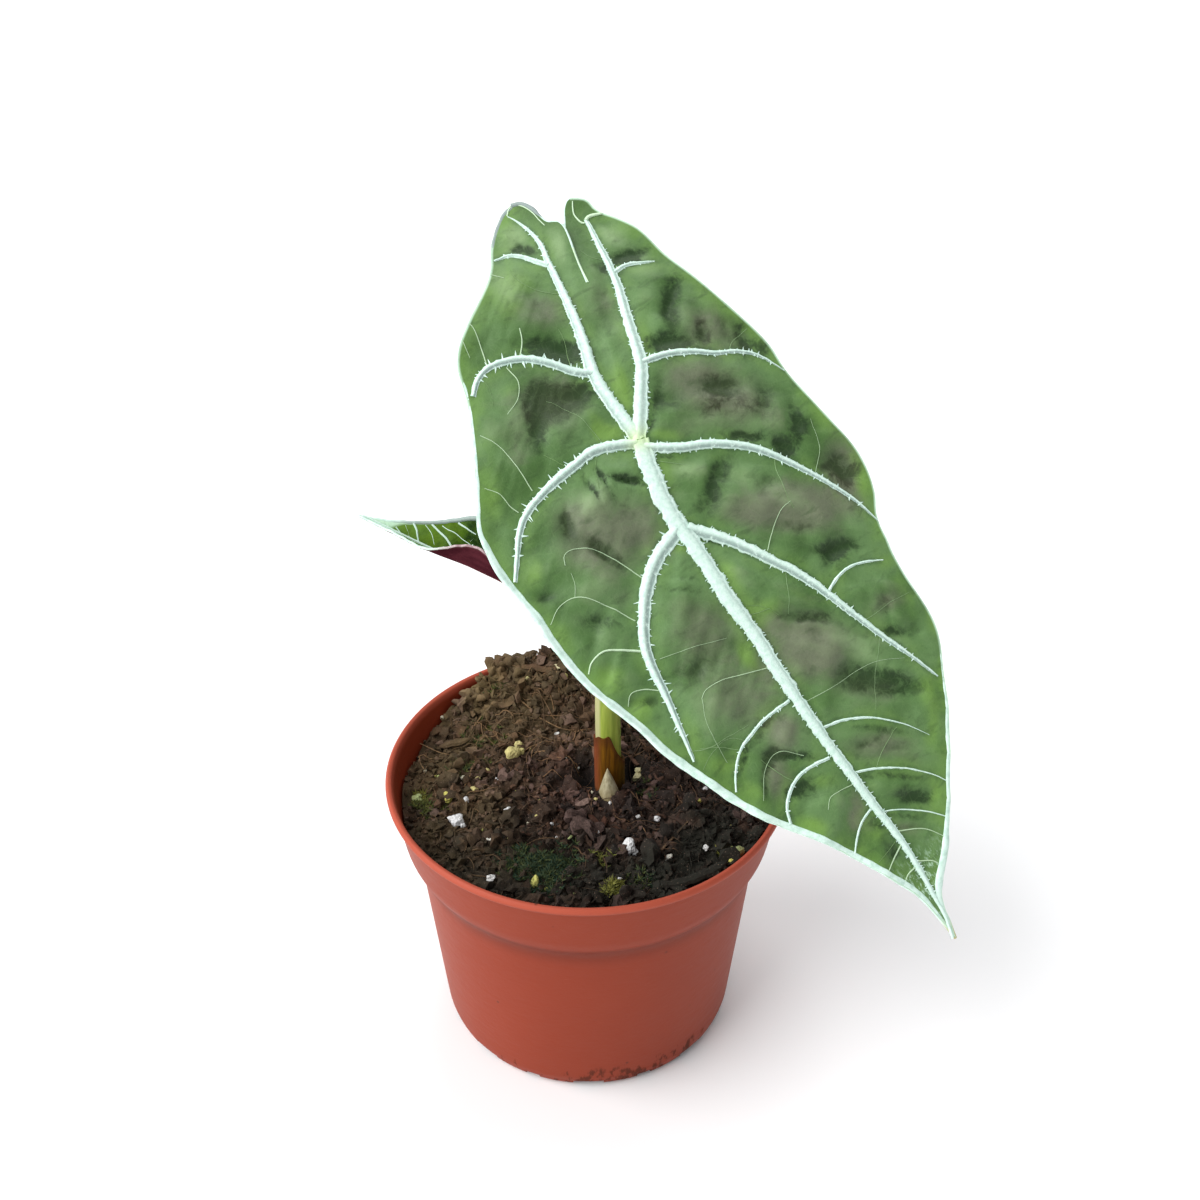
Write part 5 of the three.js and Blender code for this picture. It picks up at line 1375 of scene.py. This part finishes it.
# A rib's section: share of its half width, of its rise and of its keel, and how much grey groove shade is painted on it
RIB_BACK = [(0.8, 0, 0.6, 0), (0.4, 0, 0.95, 0), (-0.4, 0, 0.95, 0), (-0.8, 0, 0.6, 0), (-1, 0, 0, 0)]
MAIN_SECTION = [
    (-1, 0, 0, 0), (-0.9, 0.45, 0, 0), (-0.68, 0.85, 0, 0), (-0.3, 1.0, 0, 0), (0.1, 0.96, 0, 0), (0.4, 0.8, 0, 0.2),
    (0.52, 0.62, 0, 1), (0.64, 0.64, 0, 1), (0.76, 0.74, 0, 0.1), (0.9, 0.5, 0, 0), (1, 0, 0, 0.2), *RIB_BACK,
]
SIDE_SECTION = [
    (-1, 0, 0, 0), (-0.9, 0.45, 0, 0), (-0.65, 0.85, 0, 0), (-0.3, 1.0, 0, 0), (0.0, 0.85, 0, 0.1), (0.26, 0.5, 0, 0.8),
    (0.5, 0.36, 0, 1), (0.68, 0.38, 0, 0.9), (0.8, 0.5, 0, 0.1), (0.9, 0.4, 0, 0), (1, 0, 0, 0), *RIB_BACK,
]
RIB_TAPER = 1.5
# Root widths of the midrib and of the two lobes' ribs
MAIN_ROOTS = (3.85, 2.9)


def add_rib(mesh, path, root, end, side, rise, keel):
    """A rib with a groove above and a keel below, laid along the blade."""
    groove_shade_layer, under, rooted = [mesh.verts.layers.float[name] for name in ("groove", "under", "root")]
    flat = mesh.verts.layers.float_vector["flat"]
    steps = max(8, round(line_length(path) / 0.6))
    line = smooth_line(path, steps)
    section = MAIN_SECTION if root in MAIN_ROOTS and path[-1][0] > 0 else SIDE_SECTION
    turned = -1 if side > 0 and section is SIDE_SECTION else 1
    vertices = []
    for vertex, around, along in add_grid(mesh, len(section) - 1, steps + 2):
        row = round(along * (steps + 2)) - 1
        index = min(max(row, 0), steps)
        share, up, down, groove = section[round(around * (len(section) - 1))]
        share *= turned
        spot, ahead = line[index], heading_at(line, index)
        width = blend(root, end, (index / steps) ** RIB_TAPER)
        ragged = noise.noise(Vector((index * 0.55, 0 if share < 0 else 40, root * 9)))
        ragged += noise.noise(Vector((index * 1.7, 0 if share < 0 else 70, root * 9)))
        width *= 1 + 0.24 * ragged * abs(share)
        size = 1.0 if row == index else 0.0
        shift = share * width / 2 * size
        x, y = spot.x - ahead.y * shift, spot.y + ahead.x * shift
        base = leaf_form(spot.x, spot.y) + lobe_shift(spot.x, spot.y, side)
        base = blend(base, leaf_height(x, y, side), abs(share) ** 2 * (1 if down == 0 else 0))
        height = base + up * rise * min(width / 2, 1) * size - down * (BLADE + keel * width) * size
        height -= 0.12 * abs(share) if down == 0 else 0
        vertex.co = on_leaf(x, y, height)
        # How strongly the groove's painted shade shows on each kind of rib.
        vertex[groove_shade_layer] = groove * (0.4 if root in MAIN_ROOTS else 0.95 if root > 1.3 else 0.2)
        vertex[under] = 1.0 if down > 0 else 0.0
        vertex[rooted] = math.exp(-((spot.length / 2.3) ** 2)) if root > 2 else 0.0
        vertex[flat] = Vector((x, y, 0))
        vertices.append(vertex)
    bmesh.ops.remove_doubles(mesh, verts=vertices, dist=1e-7)
    return line


def barb_places(line, root, end, side, rng):
    """Foot, tip, side and radius of the small thorns along both flanks of a rib."""
    places = []
    reach = line_length(line)
    for flank in (-1, 1):
        at = rng.uniform(1.5, 3)
        while at < reach * 0.93 - 1:
            index = min(round(at / reach * (len(line) - 1)), len(line) - 1)
            width = blend(root, end, (index / (len(line) - 1)) ** RIB_TAPER)
            spot, ahead = line[index], heading_at(line, index)
            out = Vector((-ahead.y, ahead.x, 0)) * flank
            way = (out + ahead * rng.uniform(-0.3, 0.6)).normalized()
            if root in MAIN_ROOTS:
                long, gap = 0.1 + 0.42 * rng.random() ** 2, rng.uniform(0.4, 1.8)
            elif root > 1.3:
                long = (0.16 + rng.random() ** 2.2) * (1 if spot.y < 0 else 0.55)
                gap = rng.uniform(0.6, 2.8)
            else:
                long, gap = 0.1 + 0.3 * rng.random() ** 2, rng.uniform(1.0, 4.0)
            foot = spot + out * (width / 2 - 0.2)
            places.append((foot, foot + way * (long + 0.2), side, rng.uniform(0.16, 0.32)))
            at += gap
    return places


def add_barb(mesh, foot, tip, side, radius):
    a = on_leaf(foot.x, foot.y, leaf_height(foot.x, foot.y, side) - 0.02)
    b = on_leaf(tip.x, tip.y, leaf_height(tip.x, tip.y, side) + 0.04)
    turn = (b - a).to_track_quat("Z", "Y").to_matrix().to_4x4()
    made = bmesh.ops.create_cone(
        mesh, cap_ends=True, segments=4, radius1=radius * MM, radius2=0.03 * MM, depth=(b - a).length,
        matrix=Matrix.Translation((a + b) / 2) @ turn,
    )
    for vertex in made["verts"]:
        vertex[mesh.verts.layers.float_vector["flat"]] = foot


def make_ribs(material, rng):
    layers = ["groove", "under", "root", "flat"]
    mesh = new_mesh(*layers)
    barbs = []
    for side, root, end, path in VEINS:
        line = add_rib(mesh, path, root, end, side, 0.8, 0.35)
        if root > 0.7:
            barbs.extend(barb_places(line, root, end, side, rng))
    add_in_groups(mesh, layers, barbs, add_barb)
    hub = smooth_line([on_leaf(0, 0, -HUB_DROP) / MM, on_leaf(0, 0, -1.2) / MM, on_leaf(0, 0, -0.3) / MM], 10)
    add_tube(mesh, hub, lambda t: blend(1.9, 2.3, t), 20, {"under": lambda t, out: 0.3, "root": lambda t, out: 0.9})
    return make_piece(mesh, "leaf_ribs", material, (), 60)


def thin_vein_paint():
    paint = Paint("thin_vein")
    pale = paint.layer("pale")
    place = paint.place()
    colour = paint.mix(pale, tint(104, 138, 78), tint(206, 230, 198))
    colour = paint.mix(paint.cloud(place, 900, 2) * 0.3, colour, tint(120, 150, 90))
    return paint.finish(colour, 0.45)


def add_thin_vein(mesh, path, width, pale):
    steps = max(5, round(line_length(path) / 0.5))
    line = []
    for spot in smooth_line(path, steps):
        side = -1 if spot.y < SLIT_Y and spot.x < APEX[0] else 1
        side = side if spot.x < APEX[0] else 0
        line.append(on_leaf(spot.x, spot.y, leaf_height(spot.x, spot.y, side) + 0.04) / MM)
    add_tube(mesh, line, lambda t: width * (0.5 - 0.22 * t), 5, {"pale": lambda t, out: pale})


def branch_paths(rng):
    """Fine veins that leave the main ones and curve towards the margin."""
    paths = []
    for side, root, end, path in VEINS:
        line = smooth_line(path, max(6, round(line_length(path) / 2.0)))
        for flank in (-1, 1):
            for index in range(2, len(line) - 1):
                if rng.random() > 0.03:
                    continue
                ahead = heading_at(line, index)
                way = (Vector((-ahead.y, ahead.x, 0)) * flank + ahead * 0.35).normalized()
                spot = line[index].copy()
                curl = rng.uniform(-0.06, 0.16) * flank
                grown = [spot.copy()]
                for part in range(rng.randint(5, 13)):
                    spot = spot + way * 1.1
                    way.rotate(Matrix.Rotation(-curl + rng.uniform(-0.16, 0.16), 3, "Z"))
                    near_vein = part > 2 and vein_gap(spot.x, spot.y) < 0.7
                    if near_vein or edge_gap(spot.x, spot.y) < 1.0:
                        break
                    grown.append(spot.copy())
                if len(grown) > 4:
                    paths.append([tuple(point[:2]) for point in grown])
    return paths


def make_thin_veins(rng):
    veins = [(path, width, min(1.0, 0.35 + width * 1.1)) for width, path in THIN_VEINS]
    veins += [([leaf_spot(pixel) for pixel in path], width, 1.0) for width, path in LOBE_VEINS_SEEN]
    veins += [(path, rng.uniform(0.08, 0.15), rng.uniform(0.0, 0.2)) for path in branch_paths(rng)]
    mesh = new_mesh("pale")
    add_in_groups(mesh, ["pale"], veins, add_thin_vein)
    return make_piece(mesh, "leaf_thin_veins", thin_vein_paint(), (), 80)


def margin_paint():
    paint = Paint("pale_margin")
    place = paint.place()
    fine = paint.cloud(place, 700, 4, 0.6)
    colour = paint.mix(paint.ease(fine, 0.4, 0.7), tint(212, 236, 224), tint(182, 212, 197))
    # Grey where the margin rolls over: partly its own duller colour and partly painted shade.
    colour = paint.mix(paint.layer("rolled_shade"), colour, tint(136, 150, 146))
    colour = paint.mix(paint.layer("tip"), colour, tint(178, 160, 84))
    rosy = paint.mix(paint.ease(fine, 0.3, 0.7), tint(142, 108, 114), tint(196, 176, 176))
    colour = paint.mix(paint.layer("rosy"), colour, rosy)
    return paint.finish(colour, 0.45, paint.bump(fine, 0.0001, 0.4), Specular_IOR_Level=0.4)


# Half the margin's width, in steps of its length from the lobe to the tip
LEFT_MARGIN_RADII = [
    (0, 0.5), (0.05, 0.42), (0.08, 0.24), (0.18, 0.26), (0.22, 0.42), (0.36, 0.5), (0.42, 0.8), (0.5, 0.85), (0.56, 0.78),
    (0.61, 0.8), (0.68, 0.82), (0.72, 0.8), (0.78, 0.7), (0.85, 0.62), (0.92, 0.66), (0.97, 0.45), (1, 0.28),
]
RIGHT_MARGIN_RADII = [
    (0, 0.22), (0.4, 0.2), (0.6, 0.24), (0.7, 0.4), (0.757, 0.5), (0.853, 0.55), (0.9, 0.78), (0.93, 0.86),
    (0.95, 0.75), (0.975, 0.42), (1, 0.28),
]
ROLLED_SLIT = 0.28
MARGIN_FLATNESS = 0.6


def stepped(steps, at):
    for (start, first), (end, second) in zip(steps, steps[1:]):
        if at <= end:
            return blend(first, second, smooth_step(start, end, at))
    return steps[-1][1]


def make_margin():
    """The pale edge of the blade, which lies just inside its outline."""
    mesh = new_mesh("tip", "rolled_shade")
    sides = ((LEFT_SLIT, LEFT_MARGIN, LEFT_MARGIN_RADII, -1), (RIGHT_SLIT, RIGHT_MARGIN, RIGHT_MARGIN_RADII, 1))
    for slit, margin, radii, side in sides:
        outer = smooth_line(margin, 300)
        line = []
        for index, spot in enumerate(outer):
            ahead = heading_at(outer, index)
            inward = Vector((ahead.y, -ahead.x, 0)) * side * stepped(radii, index / 300) * 0.8
            at = spot + inward * (1 if index < 290 else (300 - index) / 10)
            line.append(on_leaf(at.x, at.y, leaf_height(at.x, at.y, side) - BLADE * 0.4) / MM)
        # The rolled mark: grey where the margin rolls over, partly painted shade.
        marks = {
            "tip": lambda t, out: smooth_step(0.97, 1, t),
            "rolled_shade": lambda t, out: (side < 0) * max(
                smooth_step(0.075, 0.045, t),
                0.4 * (out.dot(NORMAL) > 0.9) * smooth_step(0.37, 0.42, t) * smooth_step(0.7, 0.6, t)),
        }
        wave = lambda t: 1 + 0.2 * noise.noise(Vector((t * 70, side * 9, 2)))
        add_tube(mesh, line, lambda t: stepped(radii, t) * wave(t), 14, marks, MARGIN_FLATNESS, NORMAL)
        inner = smooth_line(slit, 90)
        line = [on_leaf(s.x, s.y, leaf_height(s.x, s.y, side) - BLADE * 0.35) / MM for s in inner]
        marks = {
            "tip": lambda t, out: 0,
            "rolled_shade": lambda t, out: (1 - smooth_step(ROLLED_SLIT - 0.03, ROLLED_SLIT + 0.03, t)) * (side < 0),
        }
        thick = 0.5 if side < 0 else 0.2
        add_tube(mesh, line, lambda t: blend(thick, 0.26, smooth_step(ROLLED_SLIT - 0.1, ROLLED_SLIT, t)), 10, marks)
    return make_piece(mesh, "leaf_margin", margin_paint(), (), 80)


# Small leaf

def small_fold(x, side):
    near_fold, tip_fold, far_fold = SMALL_FOLDS
    near = blend(tip_fold, near_fold, smooth_step(14, 28, SMALL_LENGTH - x))
    return math.radians(near if side > 0 else far_fold)


def small_spot(x, out, side, drop):
    """A place on the small leaf by its distance along the midrib and out from it."""
    fold = small_fold(x, side)
    along = min(max(x / SMALL_LENGTH, 0), 1)
    sag = SMALL_LIFT * smooth_step(5, 14, x) * smooth_step(30, 19, x) - SMALL_SAG * math.sin(math.pi * along ** 1.2)
    curl = SMALL_CURL * out * math.sin(x * math.pi / 9) * out / SMALL_HALF_WIDTH
    ripple = 0.22 * noise.noise(Vector(((x - out * 0.7) / 1.7, out / 5, 4 + side))) * smooth_step(0.5, 3, out)
    clear = min(out / KEEL_HALF_WIDTH, 1)
    y = side * (out * math.cos(fold) + drop * clear * math.sin(fold))
    z = sag + out * math.sin(fold) + curl + ripple - drop * blend(1.2, math.cos(fold), clear)
    return (SMALL_AT + SMALL_ALONG * x + SMALL_ACROSS * y + SMALL_NORMAL * z) * MM


def small_width(x, side):
    """How far the small leaf reaches from its midrib. Its far half is the narrower one near the tip."""
    far_share = 1 - 0.3 * smooth_step(18, 42, x) - 0.13 * smooth_step(30, 20, x)
    share = far_share if side < 0 else 1 + 0.1 * smooth_step(24, 16, x)
    for (x0, w0), (x1, w1) in zip(SMALL_WIDTHS, SMALL_WIDTHS[1:]):
        if x <= x1:
            return max(blend(w0, w1, (x - x0) / (x1 - x0)), 0) * share
    return 0


def small_ribs():
    """Side, width at root and end, and path of each vein of the small leaf."""
    spots = []
    for part in range(160):
        x = blend(8, SMALL_LENGTH, part / 160)
        spots.extend((x, small_width(x, -1) * share / 40) for share in range(41))
    tree = KDTree(len(spots))
    for index, (x, out) in enumerate(spots):
        tree.insert(Vector((*seen_at(small_spot(x, out, -1, 0) / MM), 0)), index)
    tree.balance()
    ribs = []
    for root, end, pixels in SMALL_VEINS_SEEN:
        ribs.append((-1, root, end, [spots[tree.find(Vector((*pixel, 0)))[1]] for pixel in pixels]))
    for side in (-1, 1):
        for index, root in enumerate((2, 8, 13.5, 19, 24.5, 30, 34.5, 38.5)[:8 if side > 0 else 3]):
            start = root + side * 0.7
            reach = max(small_width(start + 5, side) - 0.3, 1)
            wide = (1.0, 0.4) if index % 2 == 0 else (0.5, 0.25)
            ribs.append((side, *wide, [(start, 0), (start + 2, reach * 0.5), (start + 6, reach)]))
        ribs.append((side, 1.0, 0.4, [(-0.3, 0.2), (-6, 3), (-12, 4.8)]))
    return ribs


def make_small_leaf(skin, rib, margin):
    ribs = small_ribs()
    veins, halves = tree_of([(path, root, end) for side, root, end, path in ribs if side > 0])
    names = ["vein", "edge", "bumps", "under", "dark", "lime"]
    mesh = new_mesh(*names, "flat")
    vein, edge, bumps, under, dark, lime = [mesh.verts.layers.float[name] for name in names]
    flat = mesh.verts.layers.float_vector["flat"]
    for side in (-1, 1):
        for vertex, across, along in add_grid(mesh, SMALL_COLUMNS, SMALL_ROWS):
            x = blend(-SMALL_LOBE, SMALL_LENGTH, along)
            parting = SMALL_SLIT * smooth_step(SMALL_BRIDGE, SMALL_LOBE, -x)
            wide = small_width(x, side)
            out = blend(parting, max(wide, parting), across)
            vertex[vein] = min(veins.find(Vector((x, out, 0)))[2], out)
            vertex[edge] = max(wide - out, 0) * smooth_step(SMALL_LENGTH - 5, SMALL_LENGTH - 12, x)
            vertex[dark] = 0.8 * smooth_step(SMALL_LENGTH - 12, SMALL_LENGTH - 28, x)
            vertex[lime] = 1.3 * smooth_step(SMALL_LENGTH - 30, SMALL_LENGTH - 14, x)
            vertex[bumps] = 0.5 * noise.noise(Vector(((x - out * 0.7) / 1.7, out / 5, 4 + side))) - 0.1
            vertex[flat] = Vector((x + 200, side * out + 60, 0))
            vertex.co = small_spot(x, out, side, 0)
            vertex[under] = side
    merge(mesh)
    made = bmesh.ops.extrude_face_region(mesh, geom=mesh.faces[:], use_keep_orig=True)
    for vertex in made["geom"]:
        if isinstance(vertex, bmesh.types.BMVert):
            x, y = vertex[flat][0] - 200, vertex[flat][1] - 60
            vertex.co = small_spot(x, abs(y), -1 if y < 0 else 1, SMALL_BLADE)
            vertex[under] = 2.0
    for vertex in mesh.verts:
        vertex[under] = 1.0 if vertex[under] == 2.0 else 0.0
    make_piece(mesh, "small_blade", skin, ["small_leaf"], 70)

    mesh = new_mesh("groove", "under", "root", "flat")
    plain = {"under": lambda t, out: 0.0}
    keel = [small_spot(x, 0, 1, -0.25) / MM for x in range(-5, 46)]
    add_tube(mesh, keel, lambda t: blend(0.5, 0.2, t), 10, plain)
    for side, root, end, path in ribs:
        path = [Vector((*spot[:2], 0)) for spot in path]
        line = [small_spot(s.x, max(s.y, 0), side, 0.05) / MM for s in smooth_line(path, 14)]
        add_tube(mesh, line, lambda t: blend(root, end, t) * 0.3, 8, plain)
    below = [small_spot(x, 0, 1, 0.45) / MM for x in range(-5, 29)]
    add_tube(mesh, below, lambda t: blend(0.35, 0.08, t), 10, {"under": lambda t, out: 1.0})
    hub = [(SMALL_AT + SMALL_NORMAL * z) for z in (-SMALL_HUB_DROP, -1.4, -0.7, 0)]
    add_tube(mesh, hub, lambda t: blend(1.3, 1.9, t), 14, {"under": lambda t, out: 0.3, "root": lambda t, out: 0.8})
    make_piece(mesh, "small_ribs", rib, (), 60)

    mesh = new_mesh("tip", "rolled_shade", "rosy")
    for side in (-1, 1):
        line = [small_spot(x, small_width(x, side), side, SMALL_BLADE * 0.5) for x in
                [blend(-SMALL_LOBE, SMALL_LENGTH, index / 90) for index in range(91)]]
        width = (lambda t: 0.32 - 0.1 * t) if side > 0 else (lambda t: blend(0.6, 0.28, smooth_step(0.6, 1, t)))
        marks = {
            "tip": lambda t, out: 0, "rolled_shade": lambda t, out: 0.8 * (side < 0) * smooth_step(0.93, 0.8, t) * smooth_step(0.4, 0.6, t),
            "rosy": lambda t, out: (side > 0) * smooth_step(0.75, 0.62, t),
        }
        add_tube(mesh, [spot / MM for spot in line], width, 8, marks)
    make_piece(mesh, "small_margin", margin, (), 80)


# Corm, which lies inside the soil

def paint_corm():
    paint = Paint("corm_skin")
    place = paint.place()
    rings = paint.cloud(paint.stretched(place, (60, 60, 600)), 1.0, 4)
    colour = paint.mix(rings, tint(92, 62, 38), tint(158, 120, 78))
    material = paint.finish(colour, 0.8, paint.bump(rings, 0.0004, 0.6))
    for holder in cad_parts["corm"].material_slots:
        holder.material = material


# Floor, light and camera

def make_stage():
    paint = Paint("studio_floor")
    place = paint.place()
    colour = paint.mix(paint.cloud(place, 2.0, 2), tint(246, 246, 246), tint(250, 250, 250))
    mesh = bmesh.new()
    bmesh.ops.create_grid(mesh, x_segments=8, y_segments=8, size=6)
    data = bpy.data.meshes.new("studio_floor")
    mesh.to_mesh(data)
    mesh.free()
    data.materials.append(paint.finish(colour, 0.9, Specular_IOR_Level=0.1))
    floor = bpy.data.objects.new("studio_floor", data)
    bpy.context.scene.collection.objects.link(floor)


def add_light(name, kind, at, power, size):
    """A soft light that looks at the object: a sun's size is in degrees, a lamp's in metres."""
    data = bpy.data.lights.new(name, kind)
    data.energy = power
    if kind == "SUN":
        data.angle = math.radians(size)
    else:
        data.shape = "DISK"
        data.size = size
    light = bpy.data.objects.new(name, data)
    light.location = at
    light.rotation_mode = "QUATERNION"
    light.rotation_quaternion = (-Vector(at)).to_track_quat("-Z", "Y")
    bpy.context.scene.collection.objects.link(light)


def make_light():
    world = bpy.data.worlds.new("studio_light")
    world.use_nodes = True
    back = world.node_tree.nodes["Background"]
    back.inputs["Color"].default_value = (0.95, 0.98, 1.0, 1)
    back.inputs["Strength"].default_value = 0.49
    bpy.context.scene.world = world
    add_light("window_light", "SUN", (-0.74, -0.28, 0.62), 3.55, 60)
    add_light("top_light", "AREA", (0.15, 0.45, 1.3), 7.0, 0.9)
    bpy.context.scene.view_settings.view_transform = "Standard"


def make_camera():
    data = bpy.data.cameras.new("camera")
    data.lens = CAMERA_LENS
    data.sensor_width = SENSOR
    data.clip_start = 0.01
    camera = bpy.data.objects.new("camera", data)
    camera.location = CAMERA_AT * MM
    camera.rotation_mode = "QUATERNION"
    camera.rotation_quaternion = CAMERA_AIM.to_track_quat("-Z", "Y")
    bpy.context.scene.collection.objects.link(camera)
    bpy.context.scene.camera = camera


def make_soil(rng):
    peat = soil_paint("moist_peat", [tint(34, 22, 18), tint(58, 38, 28), tint(92, 62, 46), tint(108, 84, 78)], 0.95)
    bark = soil_paint("bark", [tint(46, 28, 20), tint(90, 52, 36), tint(116, 84, 68), tint(128, 104, 94)], 0.9)
    straw = soil_paint("rootlet", [tint(54, 38, 30), tint(96, 70, 50), tint(150, 112, 78), tint(176, 138, 100)], 0.85)
    make_soil_bed(peat)
    make_crumbs(peat, rng)
    make_bark(bark, rng)
    make_fibres(straw, rng)
    make_perlite(rng)
    make_moss(rng)


def make_leaf(rng):
    greens, small_greens = (tint(70, 102, 51), tint(96, 128, 78)), (tint(46, 72, 14), tint(60, 90, 24))
    maroons, small_maroons = (tint(58, 24, 32), tint(80, 38, 45)), (tint(68, 28, 36), tint(90, 42, 50))
    skin = blade_paint("quilted_leaf_skin", greens, tint(112, 148, 64), maroons, 0.28)
    small_skin = blade_paint("small_leaf_skin", small_greens, tint(98, 128, 36), small_maroons, 0.0)
    rib = vein_paint()
    make_blade(skin)
    make_ribs(rib, rng)
    make_thin_veins(rng)
    make_margin()
    make_small_leaf(small_skin, rib, margin_paint())


make_pot()
make_soil(random.Random(5))
make_stalks()
make_shoot()
make_sheath()
make_leaf(random.Random(8))
paint_corm()
make_stage()
make_light()
make_camera()
